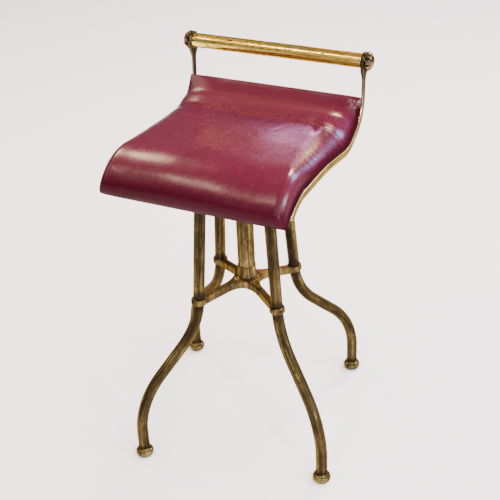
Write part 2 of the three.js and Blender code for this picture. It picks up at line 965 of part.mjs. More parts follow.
// The drop-shaped neck between the eye and the upright.
function neckShape() {
  const eye = line[0];
  const run = line[1].clone().sub(eye).normalize();
  const side = new THREE.Vector2(run.y, -run.x);
  const spot = (along, across) => eye.clone().addScaledVector(run, along).addScaledVector(side, across);
  const shoulder = eyeRadius * Math.SQRT1_2;
  const half = uprightDepth / 2;
  const shape = new THREE.Shape();
  const begin = spot(shoulder, -shoulder);
  shape.moveTo(begin.x, begin.y);
  const low = spot(neckLength, -half);
  const lowPull = spot((neckLength + shoulder) / 2, -half);
  shape.quadraticCurveTo(lowPull.x, lowPull.y, low.x, low.y);
  const high = spot(neckLength, half);
  shape.lineTo(high.x, high.y);
  const highPull = spot((neckLength + shoulder) / 2, half);
  const finish = spot(shoulder, shoulder);
  shape.quadraticCurveTo(highPull.x, highPull.y, finish.x, finish.y);
  const centre = spot(-shoulder / 2, 0);
  shape.lineTo(centre.x, centre.y);
  return shape;
}

function sideStrap(side) {
  const strapLine = stretch(line, neckLength - uprightDepth, lineEnd - strapEndGap);
  const halves = strapHalfDepths(strapLine);
  const low = halves.map((half) => strapEdge - half);
  const high = halves.map((half) => half - strapEdge);
  const bar = new THREE.ExtrudeGeometry(
    new THREE.Shape([...offset(strapLine, high), ...offset(strapLine, low).reverse()]),
    {
      depth: strapThickness - 2 * strapEdge,
      bevelThickness: strapEdge,
      bevelSize: strapEdge,
      bevelSegments: 1,
    },
  );
  const neck = new THREE.ExtrudeGeometry(neckShape(), {
    depth: strapThickness,
    bevelEnabled: false,
    curveSegments: 5,
  });
  const eye = rod(eyeRadius, -eyeThickness / 2, eyeThickness / 2, eyeSteps);
  eye.translate(line[0].x, line[0].y, 0);
  const hole = rod(rodRadius + fit, -eyeThickness, eyeThickness, boreSides, true);
  hole.translate(line[0].x, line[0].y, 0);
  const flat = cut(
    join(bar.translate(0, 0, strapEdge - strapThickness / 2), neck.translate(0, 0, -strapThickness / 2), eye),
    hole,
  );
  return acrossSeat(flat, side * strapMiddle);
}

// Back rail

function alongRail(geometry) {
  return geometry.rotateY(quarterTurn).translate(0, line[0].x, line[0].y);
}

function railTube() {
  const section = new THREE.Shape(ring(railRadius, railSides));
  section.holes.push(new THREE.Path(ring(railRadius - railWall, railSides, true)));
  const reach = eyeInside - fit;
  const tube = new THREE.ExtrudeGeometry(section, { depth: 2 * reach, bevelEnabled: false });
  return alongRail(tube.translate(0, 0, -reach));
}

function railRod() {
  const reach = eyeOutside + knobBore;
  return alongRail(rod(rodRadius, -reach, reach, boreSides));
}

// A domed knob with shallow flutes round its rim, drawn along +Z with its flat at height zero.
function knob() {
  const outline = [
    [0, 0],
    [knobRadius - knobChamfer, 0],
    [knobRadius, knobRimLength / 3],
    [knobRadius, knobRimLength],
  ];
  for (let i = 1; i < knobArcSteps; i++) {
    const angle = (quarterTurn * i) / knobArcSteps;
    const height = knobRimLength + (knobLength - knobRimLength) * Math.sin(angle);
    outline.push([(knobRadius - knobChamfer) * Math.cos(angle), height]);
  }
  outline.push([0, knobLength]);
  const dome = turned(outline, knobFlutes * 4);
  const place = dome.attributes.position;
  for (let i = 0; i < place.count; i++) {
    const angle = Math.atan2(place.getY(i), place.getX(i));
    const dip = 1 - (knobFluteShare * (1 + Math.cos(knobFlutes * angle))) / 2;
    place.setXY(i, place.getX(i) * dip, place.getY(i) * dip);
  }
  return cut(dome, rod(rodRadius + fit, -overrun, knobBore + fit, boreSides, true));
}

function endKnob(side) {
  const geometry = knob().translate(0, 0, eyeOutside + fit);
  return alongRail(side > 0 ? geometry : geometry.rotateY(Math.PI));
}

// Cushion

// A share table read at any place from 0 to 1, eased between its entries.
function readShares(shares, place) {
  const at = place * (shares.length - 1);
  const first = Math.min(Math.floor(at), shares.length - 2);
  const ease = THREE.MathUtils.smoothstep(at - first, 0, 1);
  return THREE.MathUtils.lerp(shares[first], shares[first + 1], ease);
}

// Half of the cushion's section, from its tucked foot to the middle of its crown: across and up.
function cushionHalfSection(height) {
  const half = seatWidth / 2;
  const roll = Math.min(cushionTopRoll, half / 2);
  const sideRoll = Math.min(cushionSideRoll, height * cushionSideRollShare);
  const points = [
    [half - cushionTuck, 0],
    [half - cushionTuck / 3, (height - sideRoll) / 2],
  ];
  for (let i = 0; i <= cushionRollSteps; i++) {
    const angle = (quarterTurn * i) / cushionRollSteps;
    points.push([half - roll + roll * Math.cos(angle), height - sideRoll + sideRoll * Math.sin(angle)]);
  }
  for (let i = 1; i <= cushionCrownSteps; i++) {
    points.push([(half - roll) * (1 - i / cushionCrownSteps), height]);
  }
  return points.map(([across, up]) => {
    const crown = (cushionCrown * (1 - (across / half) ** 2) * up) / cushionFull;
    return [across, up + crown];
  });
}

function cushionGeometry() {
  const topEnd = boardStart - cushionTopOver;
  const ahead = line[line.length - 1].clone().sub(line[line.length - 2]).normalize();
  const nose = line[line.length - 1].clone().addScaledVector(ahead, cushionNoseOver);
  const reach = stretch([...line, nose], topEnd, lineEnd + cushionNoseOver);
  const whole = lineLength(reach);
  const sections = [];
  for (let i = 0; i <= cushionStations; i++) {
    // Stations gather at both ends, where the leather rolls over
    const gathered = (1 - Math.cos((Math.PI * i) / cushionStations)) / 2;
    const along = THREE.MathUtils.lerp(i / cushionStations, gathered, cushionGatherShare) * whole;
    const near = Math.max(along - whole * cushionTangentShare, 0);
    const far = Math.min(along + whole * cushionTangentShare, whole);
    const run = pointAt(reach, far).sub(pointAt(reach, near)).normalize();
    const up = new THREE.Vector2(run.y, -run.x);
    const base = pointAt(reach, along).addScaledVector(up, boardHigh + cushionGap);
    const toEnd = Math.min(along, whole - along) / cushionEndRoll;
    const roll = Math.sqrt(1 - (1 - Math.min(toEnd, 1)) ** 2);
    const ended = cushionEndShare + (1 - cushionEndShare) * roll;
    const half = cushionHalfSection(cushionFull * readShares(fullnessShares, along / whole) * ended);
    const section = [...half, ...half.slice(0, -1).reverse().map(([across, rise]) => [-across, rise])];
    sections.push(
      section.map(([across, rise]) => new THREE.Vector3(across, base.x + up.x * rise, base.y + up.y * rise)),
    );
  }
  return loft(sections);
}

function pointAt(points, distance) {
  let gone = 0;
  for (let i = 1; i < points.length; i++) {
    const step = points[i].distanceTo(points[i - 1]);
    if (gone + step >= distance || i === points.length - 1) {
      return points[i - 1].clone().lerp(points[i], (distance - gone) / step);
    }
    gone += step;
  }
  return points[0].clone();
}

function backLining() {
  const end = boardStart + (lineEnd - boardStart) * backBarShare - barWidth / 2 - liningThickness;
  const reach = stretch(line, boardStart - cushionTopOver / 2, end);
  const high = boardLow - fit;
  return sideExtrusion(band(reach, high - liningThickness, high), -boardWidth / 2, boardWidth / 2);
}

// Assembly

const stool = new THREE.Group();
const base = new THREE.Group();
base.rotation.z = baseTurn + quarterTurn / 2;
const seat = new THREE.Group();
stool.add(base, seat);

function place(parent, name, geometry, material) {
  const mesh = new THREE.Mesh(geometry, material);
  mesh.name = name;
  parent.add(mesh);
  return mesh;
}

["back_right", "back_left", "front_left", "front_right"].forEach((corner, i) => {
  const legSide = new THREE.Group();
  legSide.rotation.z = i * quarterTurn;
  base.add(legSide);
  place(legSide, "leg_" + corner, legTube(), agedBrass);
  place(legSide, "foot_" + corner, footBody(), agedBrass);
  place(legSide, "collar_pin_" + corner, collarPin(), darkBrass);
  place(legSide, "socket_screw_" + corner, socketScrew(), steel);
});
place(base, "lower_spider", lowerSpider(), agedBrass);
place(base, "column_tube", columnTube(), agedBrass);
place(base, "column_ferrule", columnFerrule(), agedBrass);
place(base, "column_cap", columnCap(), darkBrass);
place(base, "crown_casting", crownCasting(), darkBrass);
place(stool, "lift_nut", liftNut(), paleBrass);
place(stool, "guide_bush", guideBush(), paleBrass);

place(seat, "lift_screw", liftScrew(), steel);
place(seat, "guide_nut", guideNut(), steel);
place(seat, "rest_washer", restWasher(), washerLeather);
place(seat, "seat_plate", seatPlate(), iron);
place(seat, "screw_pin", screwPin(), steel);
plateScrewPlaces.forEach((spot, i) => {
  const screw = place(seat, "plate_screw_" + (i + 1), woodScrew(plateScrewGrip), steel);
  screw.position.set(spot.x, spot.y, plateBottom);
});
place(seat, "seat_block", seatBlock(), beech);
place(seat, "seat_board", seatBoard(), plywood);
place(seat, "cross_bar_front", crossBar(frontBarShare), iron);
place(seat, "cross_bar_back", crossBar(backBarShare), iron);
boardScrews().forEach(({ share, side, body }) => {
  const end = share === frontBarShare ? "front" : "back";
  const hand = side > 0 ? "right" : "left";
  place(seat, "bar_screw_" + end + "_" + hand, body, steel);
});
place(seat, "seat_cushion", cushionGeometry(), leather);
place(seat, "back_lining", backLining(), leather);
place(seat, "strap_left", sideStrap(-1), paleBrass);
place(seat, "strap_right", sideStrap(1), paleBrass);
place(seat, "rail_tube", railTube(), paleBrass);
place(seat, "rail_rod", railRod(), steel);
place(seat, "knob_left", endKnob(-1), darkBrass);
place(seat, "knob_right", endKnob(1), darkBrass);

export default stool;
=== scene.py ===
import math

import bmesh
import bpy
from mathutils import Matrix, Vector, noise


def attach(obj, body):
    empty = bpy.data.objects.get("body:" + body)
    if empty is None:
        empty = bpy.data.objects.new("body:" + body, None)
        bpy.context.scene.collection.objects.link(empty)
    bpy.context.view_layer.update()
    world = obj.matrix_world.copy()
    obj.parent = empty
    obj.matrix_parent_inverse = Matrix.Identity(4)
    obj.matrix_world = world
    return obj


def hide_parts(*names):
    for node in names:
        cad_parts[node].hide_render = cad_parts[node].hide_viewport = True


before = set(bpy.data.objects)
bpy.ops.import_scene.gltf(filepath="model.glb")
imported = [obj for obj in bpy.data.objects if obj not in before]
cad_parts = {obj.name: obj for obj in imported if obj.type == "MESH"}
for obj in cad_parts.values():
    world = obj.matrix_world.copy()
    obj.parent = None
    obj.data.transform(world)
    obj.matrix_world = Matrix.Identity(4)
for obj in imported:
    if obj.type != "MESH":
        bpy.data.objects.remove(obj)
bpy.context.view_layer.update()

MM = 0.001
QUARTER = math.pi / 2
FULL = 2 * math.pi

# Camera in metres, fitted to the photograph's feet, legs, collars and rail

CAMERA_PLACE = Vector((0.64514, -1.25612, 1.18740))
CAMERA_BACK = Vector((0.38774, -0.76372, 0.51612)).normalized()
CAMERA_ROLL = -0.04698
LENS = 71.818
SENSOR = 36.0
NEAREST = 0.05

camera_data = bpy.data.cameras.new("camera")
camera_data.lens = LENS
camera_data.sensor_width = SENSOR
camera_data.clip_start = NEAREST
camera = bpy.data.objects.new("camera", camera_data)
bpy.context.scene.collection.objects.link(camera)
side = Vector((0, 0, 1)).cross(CAMERA_BACK).normalized()
upward = CAMERA_BACK.cross(side)
tilt_cos, tilt_sin = math.cos(CAMERA_ROLL), math.sin(CAMERA_ROLL)
camera_x = side * tilt_cos + upward * tilt_sin
camera_y = upward * tilt_cos - side * tilt_sin
turned_to = Matrix((camera_x, camera_y, CAMERA_BACK)).transposed().to_4x4()
camera.matrix_world = Matrix.Translation(CAMERA_PLACE) @ turned_to
bpy.context.scene.camera = camera


# Sizes in millimetres, as the CAD part has them

FIT = 0.3
BASE_TURN = math.radians(11.34)
CORNERS = ("back_right", "back_left", "front_left", "front_right")
FOOT_RADIUS = 310 / math.sqrt(2)
FOOT_SOLE, FOOT_NECK, FOOT_BALL = 8.5, 11.4, 15
FOOT_BALL_HEIGHT = 13.5
FOOT_FLOOR = 4
LEG_RADIUS = 9.5
HIP_OUT, HIP_HEIGHT = 97.6, 224.6
LEG_TOP_OUT, LEG_TOP = 77.2, 462
LEG_LEAN = math.atan((HIP_OUT - LEG_TOP_OUT) / (LEG_TOP - HIP_HEIGHT))
COLUMN_RADIUS, COLUMN_TOP = 14.3, 447.7
FERRULE_HEIGHT = 20
CAP_RADIUS, CAP_DOME, CAP_RIM, CAP_SPIGOT = 15.5, 5, 2.5, 9
COLLAR_HEIGHT = 272
SPIDER_HEIGHT, SPIDER_RISE, SPIDER_FILLET = 269, 15.5, 34
ARM_DEPTH = 13.5
ARM_HALF_WIDTH = 5.7
HUB_RADIUS, HUB_SHOULDER = 21, 2.5
CROWN_TOP = LEG_TOP + 14
CROWN_BOTTOM = CROWN_TOP - 38
CROWN_FILLET = 22
CROWN_ARM_DEPTH = 15
CROWN_ARM_HEIGHT = CROWN_TOP - 12 - CROWN_ARM_DEPTH / 2
LEAD = 8
SEAT_RISE = 12 * LEAD
NUT_BOTTOM, NUT_TOP = 448, 480
JOURNAL_TOP = NUT_BOTTOM - SEAT_RISE - 2
GUIDE_LENGTH = 16
GUIDE_NUT_TOP = JOURNAL_TOP - FIT - GUIDE_LENGTH - FIT
STUD_RADIUS, JOURNAL_RADIUS, ROOT_RADIUS, CREST_RADIUS, SHANK_RADIUS = 4.5, 6, 7.6, 10, 8
WASHER_LOW, WASHER_HIGH, WASHER_RADIUS = NUT_TOP + 0.4, NUT_TOP + 2.4, 18
BOSS_RADIUS, BOSS_FLARE = 21, 8
PLATE_TOP = 502
PLATE_BOTTOM = PLATE_TOP - 5
PLATE_RADIUS = 70
SEAT_WIDTH = 304.4
STRAP_THICKNESS = 3
STRAP_MIDDLE = SEAT_WIDTH / 2 - STRAP_THICKNESS / 2
UPRIGHT_DEPTH, STRAP_DEPTH = 10.5, 11.5
RAIL_BACK, RAIL_RISE, RAIL_RADIUS = 139.5, 132, 11.8
RAIL_HEIGHT = PLATE_TOP + RAIL_RISE
BOARD_WIDTH = 286
BOARD_LIFT, BOARD_THICKNESS = 1, 7
BOARD_LOW, BOARD_HIGH = BOARD_LIFT - BOARD_THICKNESS / 2, BOARD_LIFT + BOARD_THICKNESS / 2
BOARD_START = RAIL_RISE - 68
BAR_WIDTH, BACK_BAR_SHARE = 16, 0.196

# Corners of the drawn lines, outwards or to the back and up, with the radius of each bend
LEG_LINE = (
    (FOOT_RADIUS, FOOT_FLOOR + FIT), (FOOT_RADIUS, 110), (HIP_OUT, HIP_HEIGHT), (LEG_TOP_OUT, LEG_TOP),
)
LEG_BENDS = (139, 124)
SEAT_LINE = (
    (RAIL_BACK, RAIL_HEIGHT),
    (133, PLATE_TOP + 42),
    (75, PLATE_TOP + 8.6),
    (-17.3, PLATE_TOP + 20.6),
    (-128.7, PLATE_TOP + 20.6),
    (-162, PLATE_TOP - 9.4),
)
SEAT_BENDS = (55, 60, 400, 69)


def leg_out(height):
    """How far the straight upper leg stands from the column at a height."""
    return HIP_OUT - (height - HIP_HEIGHT) * math.tan(LEG_LEAN)


SPIDER_REACH = leg_out(COLLAR_HEIGHT)


def spider_height(out):
    """The height of a spider arm's middle at a distance from the column."""
    return SPIDER_HEIGHT + SPIDER_RISE * (1 - out / SPIDER_REACH)


HUB_BOTTOM = spider_height(CAP_RADIUS) - ARM_DEPTH / 2
HUB_TOP = spider_height(HUB_RADIUS) + ARM_DEPTH / 2 + HUB_SHOULDER


# Lines and drawn sections

CURVE_STEP, LEG_STEP = 4, 6
STRAIGHT_STEPS = 4
TOO_NEAR = 0.3
WELD = 1e-3


class Line:
    """A flat line of straights and arcs. Stations give its place, its run's direction and the run so far."""

    def __init__(self, corners, bends, step):
        corners = [Vector(corner) for corner in corners]
        self.stations = []
        self.length = 0.0
        at = corners[0]
        for i, radius in enumerate(bends):
            corner = corners[i + 1]
            ahead = (corners[i + 2] - corner).normalized()
            run = (corner - corners[i]).normalized()
            swing = math.atan2(run.x * ahead.y - run.y * ahead.x, run.dot(ahead))
            reach = radius * math.tan(abs(swing) / 2)
            self._go(at, corner - run * reach, run, step)
            centre = corner - run * reach + Vector((-run.y, run.x)) * radius * math.copysign(1, swing)
            start = corner - run * reach - centre
            count = max(3, math.ceil(abs(swing) * radius / step))
            for k in range(1, count + 1):
                turn = Matrix.Rotation(swing * k / count, 2)
                self._mark(centre + turn @ start, turn @ run, abs(swing) * radius / count)
            at = self.stations[-1][0]
        self._go(at, corners[-1], (corners[-1] - at).normalized(), step)

    def _mark(self, place, run, length):
        self.length += length
        self.stations.append((place, run, self.length))

    def _go(self, start, end, run, step):
        far = (end - start).length
        count = max(1, math.ceil(far / (STRAIGHT_STEPS * step)))
        if not self.stations:
            self.stations.append((start, run, 0.0))
        for k in range(1, count + 1):
            self._mark(start.lerp(end, k / count), run, far / count)

    def at(self, run_length):
        """The place and the direction at a distance along the line."""
        last = self.stations[0]
        for station in self.stations[1:]:
            if station[2] >= run_length or station is self.stations[-1]:
                share = (run_length - last[2]) / (station[2] - last[2])
                return last[0].lerp(station[0], share), last[1].lerp(station[1], share).normalized()
            last = station
        return last[0], last[1]

    def part(self, start, end, count=None):
        """The stations between two distances, its own ones or evenly counted ones."""
        if count:
            runs = [start + (end - start) * k / count for k in range(count + 1)]
        else:
            own = [station[2] for station in self.stations]
            runs = [start, *(run for run in own if start + TOO_NEAR < run < end - TOO_NEAR), end]
        return self.along(runs)

    def along(self, runs):
        """Stations at the distances given."""
        return [(*self.at(run), run) for run in runs]


seat_line = Line(SEAT_LINE, SEAT_BENDS, CURVE_STEP)


def upright(heights):
    """Stations of a straight line up the Z axis."""
    return [(Vector((0, height)), Vector((0, 1)), height) for height in heights]


def vertices_of(made):
    return [item for item in made if isinstance(item, bmesh.types.BMVert)]


def edges_of(made):
    return [item for item in made if isinstance(item, bmesh.types.BMEdge)]


def edges_among(vertices):
    """The edges with both ends among some vertices, in the order of those vertices."""
    among = set(vertices)
    edges = dict.fromkeys(edge for vertex in vertices for edge in vertex.link_edges)
    return [edge for edge in edges if all(vertex in among for vertex in edge.verts)]


def new_mesh():
    """An empty mesh whose vertices keep their place before bending: across, lift and run."""
    bm = bmesh.new()
    bm.verts.layers.float_vector.new("straight")
    return bm


def round_section(bm, radius, sides):
    """A ring of a round bar. Its section coordinates are kept as the ring's place before it was bent."""
    made = bmesh.ops.create_circle(bm, cap_ends=False, radius=radius, segments=sides)
    return tag_section(bm, made["verts"])


def flat_section(bm, outline):
    """A closed ring through (across, lift) corners."""
    ring = [bm.verts.new((across, lift, 0)) for across, lift in outline]
    for vertex, after in zip(ring, ring[1:] + ring[:1]):
        bm.edges.new((vertex, after))
    return tag_section(bm, ring)


def tag_section(bm, ring):
    straight = bm.verts.layers.float_vector["straight"]
    for vertex in ring:
        vertex[straight] = Vector((vertex.co.x, vertex.co.y, 0))
    return ring


def draw_along(bm, ring, stations, shape=None, apart=(0, 0, 0)):
    """Draws a ring of vertices along stations of a flat line in the XZ plane, across being Y, and closes
    both ends. A shape gives the ring's own across and lift at a run, and apart sets the streaks of like
    pieces apart."""
    straight = bm.verts.layers.float_vector["straight"]
    apart = Vector(apart)
    edges = edges_among(ring)

    def place(vertices, station):
        point, run, length = station
        lift_way = Vector((-run.y, 0, run.x))
        for vertex in vertices:
            across, lift, _ = vertex[straight]
            if shape:
                across, lift = shape(across, lift, length)
            vertex.co = Vector((point.x, across, point.y)) + lift_way * lift

    def tag(vertices, length):
        for vertex in vertices:
            across, lift, _ = vertex[straight]
            vertex[straight] = Vector((across, lift, length))

    place(ring, stations[0])
    for station in stations[1:]:
        fresh = vertices_of(bmesh.ops.extrude_edge_only(bm, edges=edges)["geom"])
        edges = edges_among(fresh)
        place(fresh, station)
        tag(fresh, station[2])
    tag(ring, stations[0][2])
    bmesh.ops.contextual_create(bm, geom=edges_among(ring))
    bmesh.ops.contextual_create(bm, geom=edges)
    for vertex in bm.verts:
        vertex[straight] = vertex[straight] + apart
    bm.normal_update()
    bmesh.ops.recalc_face_normals(bm, faces=bm.faces[:])


def turn_outline(bm, outline, steps=48, placed=None, apart=(0, 0, 0)):
    """A body turned about +Z from an outline of (radius, height), then placed by a matrix."""
    straight = bm.verts.layers.float_vector["straight"]
    apart = Vector(apart)
    before = set(bm.verts)
    verts = [bm.verts.new((radius, 0, height)) for radius, height in outline]
    edges = [bm.edges.new(pair) for pair in zip(verts, verts[1:])]
    bmesh.ops.spin(
        bm, geom=verts + edges, cent=(0, 0, 0), axis=(0, 0, 1), angle=FULL, steps=steps, use_merge=True,
    )
    fresh = [vertex for vertex in bm.verts if vertex not in before]
    bmesh.ops.remove_doubles(bm, verts=fresh, dist=WELD)
    fresh = [vertex for vertex in bm.verts if vertex not in before]
    for vertex in fresh:
        vertex[straight] = vertex.co + apart
    faces = list(dict.fromkeys(face for vertex in fresh for face in vertex.link_faces))
    bmesh.ops.recalc_face_normals(bm, faces=faces)
    if placed is not None:
        bmesh.ops.transform(bm, matrix=placed, verts=fresh)


def arc(centre, radius, start, end, steps):
    """Outline points on an arc, its angles in quarter turns from the radius direction."""
    points = []
    for k in range(steps + 1):
        angle = QUARTER * (start + (end - start) * k / steps)
        points.append((centre[0] + radius * math.cos(angle), centre[1] + radius * math.sin(angle)))
    return points


def make_piece(name, bm, body, nodes, finish, placed=None, shade_limit=40.0):
    """Turns millimetres into metres and hands the piece to its body, in place of CAD nodes."""
    if placed is not None:
        bmesh.ops.transform(bm, matrix=placed, verts=bm.verts[:])
    bmesh.ops.scale(bm, vec=(MM, MM, MM), verts=bm.verts[:])
    straight = bm.verts.layers.float_vector["straight"]
    for vertex in bm.verts:
        vertex[straight] = vertex[straight] * MM
    mesh = bpy.data.meshes.new(name)
    bm.to_mesh(mesh)
    bm.free()
    piece = bpy.data.objects.new(name, mesh)
    bpy.context.scene.collection.objects.link(piece)
    mesh.materials.append(finish)
    soften(mesh, shade_limit)
    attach(piece, body)
    if nodes:
        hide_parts(*nodes)
    return piece


def turned_piece(name, outline, steps, body, nodes, finish, placed=None, apart=(0, 0, 0)):
    """A piece turned from one outline."""
    bm = new_mesh()
    turn_outline(bm, outline, steps, None, apart)
    make_piece(name, bm, body, nodes, finish, placed)


def soften(mesh, limit):
    """Smooth shading, with edges sharper than the limit in degrees kept crisp."""
    mesh.shade_smooth()
    mesh.set_sharp_from_angle(angle=math.radians(limit))


def settle(piece):
    """Puts a piece's modifiers into its mesh."""
    graph = bpy.context.evaluated_depsgraph_get()
    made = bpy.data.meshes.new_from_object(
        piece.evaluated_get(graph), preserve_all_data_layers=True, depsgraph=graph,
    )
    old = piece.data
    piece.modifiers.clear()
    piece.data = made
    bpy.data.meshes.remove(old)
    made.name = piece.name


def round_edges(piece, width, segments):
    """Rounds a piece's square edges by a width in millimetres."""
    bevel = piece.modifiers.new("edges", "BEVEL")
    bevel.width = width * MM
    bevel.segments = segments
    bevel.limit_method = "ANGLE"
    bevel.angle_limit = math.radians(50)
    bevel.use_clamp_overlap = True
    settle(piece)
    soften(piece.data, 60)


def around_column(quarter):
    """Turns the X direction onto one of the four legs, counted from the back right one."""
    return Matrix.Rotation(BASE_TURN + QUARTER / 2 + quarter * QUARTER, 4, "Z")


def on_leg(height):
    """Stands something that is drawn about +Z on the leg's upper line at a height."""
    return Matrix.Translation((leg_out(height), 0, height)) @ Matrix.Rotation(-LEG_LEAN, 4, "Y")


# Sums of sockets and the materials' nodes

class Amount:
    """A number socket. Sums of it add Math nodes."""

    def __init__(self, paint, socket):
        self.paint = paint
        self.socket = socket

    def __add__(self, other):
        return self.paint.sum("ADD", self, other)

    __radd__ = __add__

    def __sub__(self, other):
        return self.paint.sum("SUBTRACT", self, other)

    def __rsub__(self, other):
        return self.paint.sum("SUBTRACT", other, self)

    def __mul__(self, other):
        return self.paint.sum("MULTIPLY", self, other)

    __rmul__ = __mul__

    def __truediv__(self, other):
        return self.paint.sum("DIVIDE", self, other)

    def __abs__(self):
        return self.paint.sum("ABSOLUTE", self, 0.0)


def socket_of(value):
    return value.socket if isinstance(value, Amount) else value


class Paint:
    """A material, its shader and the nodes that feed it. Scales count waves or cells to a metre."""

    def __init__(self, name, **constants):
        self.material = bpy.data.materials.new(name)
        self.material.use_nodes = True
        self.tree = self.material.node_tree
        self.shader = self.tree.nodes["Principled BSDF"]
        for socket, value in constants.items():
            self.shader.inputs[socket.replace("_", " ")].default_value = value

    def node(self, kind, settings=None, inputs=None, stops=None):
        """A new node with its settings, a ramp's stops, and the values or links of its sockets."""
        node = self.tree.nodes.new(kind)
        for key, value in (settings or {}).items():
            setattr(node, key, value)
        if stops:
            elements = node.color_ramp.elements
            while len(elements) < len(stops):
                elements.new(1.0)
            for element, (place, colour) in zip(elements, stops):
                element.position = place
                element.color = (*colour, 1.0)
        for key, value in (inputs or {}).items():
            value = socket_of(value)
            if isinstance(value, bpy.types.NodeSocket):
                self.tree.links.new(value, node.inputs[key])
            else:
                node.inputs[key].default_value = value
        return node

    def sum(self, operation, first, second):
        node = self.node("ShaderNodeMath", {"operation": operation}, {0: first, 1: second})
        return Amount(self, node.outputs[0])

    def straight(self):
        """Across, lift and run of a spot before its piece was bent."""
        return self.node("ShaderNodeAttribute", {"attribute_name": "straight"}).outputs["Vector"]

    def coords(self, stretch=(1, 1, 1), straight=False, shift=(0, 0, 0)):
        source = self.straight() if straight else self.node("ShaderNodeTexCoord").outputs["Object"]
        placed = self.node("ShaderNodeMapping", None, {"Vector": source, "Scale": stretch, "Location": shift})
        return placed.outputs["Vector"]

    def noise(self, vector, scale, detail=3.0, roughness=0.55, distortion=0.0):
        inputs = {"Vector": vector, "Scale": scale, "Detail": detail, "Roughness": roughness,
                  "Distortion": distortion}
        return Amount(self, self.node("ShaderNodeTexNoise", None, inputs).outputs["Fac"])

    def cells(self, vector, scale, feature="F1"):
        node = self.node("ShaderNodeTexVoronoi", {"feature": feature}, {"Vector": vector, "Scale": scale})
        return Amount(self, node.outputs["Distance"])

    def spread(self, amount, low, high, start=0.0, end=1.0):
        """An amount between low and high, eased onto start to end."""
        settings = {"interpolation_type": "SMOOTHSTEP"}
        inputs = {0: amount, 1: low, 2: high, 3: start, 4: end}
        return Amount(self, self.node("ShaderNodeMapRange", settings, inputs).outputs[0])

    def fade(self, amount, low, high, start=1.0):
        """An amount between low and high, eased from start down to nothing."""
        return self.spread(amount, low, high, start, 0.0)

    def axes(self, vector):
        node = self.node("ShaderNodeSeparateXYZ", None, {0: vector})
        return [Amount(self, node.outputs[i]) for i in range(3)]

    def ramp(self, amount, *stops):
        return self.node("ShaderNodeValToRGB", None, {0: amount}, stops).outputs["Color"]

    def mix(self, share, first, second):
        """Two colours, each a socket or red, green and blue."""
        first, second = (colour if isinstance(colour, bpy.types.NodeSocket) else (*colour, 1.0)
                         for colour in (first, second))
        return self.node("ShaderNodeMix", {"data_type": "RGBA"}, {0: share, 6: first, 7: second}).outputs[2]

    def feed(self, socket, value):
        self.tree.links.new(socket_of(value), self.shader.inputs[socket])

    def bump(self, height, strength, distance):
        inputs = {"Height": height, "Strength": strength, "Distance": distance}
        relief = self.node("ShaderNodeBump", None, inputs).outputs["Normal"]
        self.feed("Normal", relief)
        return relief

    def blend(self, share, other):
        """Lets a second shader take over by a share of 0 to 1."""
        inputs = {0: share, 1: self.shader.outputs[0], 2: other.outputs[0]}
        both = self.node("ShaderNodeMixShader", None, inputs)
        self.tree.links.new(both.outputs[0], self.tree.nodes["Material Output"].inputs["Surface"])


def aged_brass(name, tones, age, shine, straight=True, shift=(0, 0, 0), darkened_at=(), edge=0.0,
               contrast=1.0, pitting=0.10):
    """Brass with drawn streaks, brown patina and pits; the streaks, with their contrast, are partly painted
    reflection of a dark and bright room. Tone is darkened round heights, each given with its reach and its
    depth: painted shade with grime on the legs and darker uprights on the straps. The edges of a flat bar are
    lightened, partly rubbed bright and partly painted highlight."""
    paint = Paint(name, Metallic=1.0, IOR=1.2, Specular_Tint=(0.62, 0.51, 0.33, 1))
    along = paint.coords((1, 1, 0.035), straight, shift)
    # The streaks along the tube, with their contrast, are partly painted reflection of a dark and bright
    # room.
    broad = paint.noise(along, 95.0, 3.0, 0.6)
    fine = paint.noise(along, 420.0, 2.0, 0.6)
    spots = paint.noise(paint.coords((1, 1, 0.45), straight, shift), 60.0, 6.0, 0.65)
    pits = paint.cells(paint.coords((1, 1, 0.3), straight, shift), 260.0)
    pit = paint.fade(pits, 0.14, 0.32) * paint.spread(spots, 0.44, 0.58)
    tone = broad * 0.55 + fine * 0.20 + spots * 0.45 - (age - 0.5) * 0.5 - pit * pitting
    tone = (tone - 0.6) * contrast + 0.6
    # Painted shade with grime on the legs, and darker strap uprights, round the heights given.
    for height, reach, depth in darkened_at:
        up = paint.axes(paint.coords())[2]
        tone = tone - paint.fade(abs(up - height), 0.0, reach) * depth
    # The strap's edges are lightened: partly wear, partly painted highlight.
    if edge:
        lift = paint.axes(paint.straight())[1]
        tone = tone + paint.spread(abs(lift), 0.70 * MM, 0.98 * MM, 0.0, edge)
    colour = paint.ramp(tone, (0.38, tones[0]), (0.52, tones[1]), (0.66, tones[2]), (0.86, tones[3]))
    paint.feed("Base Color", colour)
    bare = paint.spread(tone, 0.42, 0.72)
    paint.feed("Metallic", bare * 0.25 + 0.75)
    paint.feed("Roughness", (1.0 - bare) * 0.26 + shine - fine * 0.06)
    paint.bump(spots * 0.5 + fine * 0.25 - pit * 0.7, 0.35, 0.6 * MM)
    return paint.material


def plain_steel(name, tone):
    """Steel with tool marks and a little rust."""
    paint = Paint(name, Metallic=0.95)
    marks = paint.noise(paint.coords((1, 1, 0.2)), 300.0, 4.0)
    rust = paint.spread(paint.noise(paint.coords(), 70.0, 6.0, 0.7), 0.55, 0.72)
    paint.feed("Base Color", paint.mix(rust, tone, (0.10, 0.055, 0.03)))
    paint.feed("Roughness", marks * 0.25 + rust * 0.3 + 0.28)
    paint.bump(marks * 0.4 + rust * 0.6, 0.25, 0.4 * MM)
    return paint.material


def cast_iron(name):
    """Dull black iron with a sandy skin and patches of rust."""
    paint = Paint(name, Metallic=0.6)
    grain = paint.noise(paint.coords(), 900.0, 3.0, 0.7)
    rust = paint.spread(paint.noise(paint.coords(), 45.0, 6.0, 0.7), 0.48, 0.70)
    paint.feed("Base Color", paint.mix(rust, (0.045, 0.043, 0.040), (0.13, 0.060, 0.030)))
    paint.feed("Roughness", grain * 0.3 + rust * 0.2 + 0.42)
    paint.bump(grain * 0.7 + rust * 0.5, 0.5, 0.5 * MM)
    return paint.material


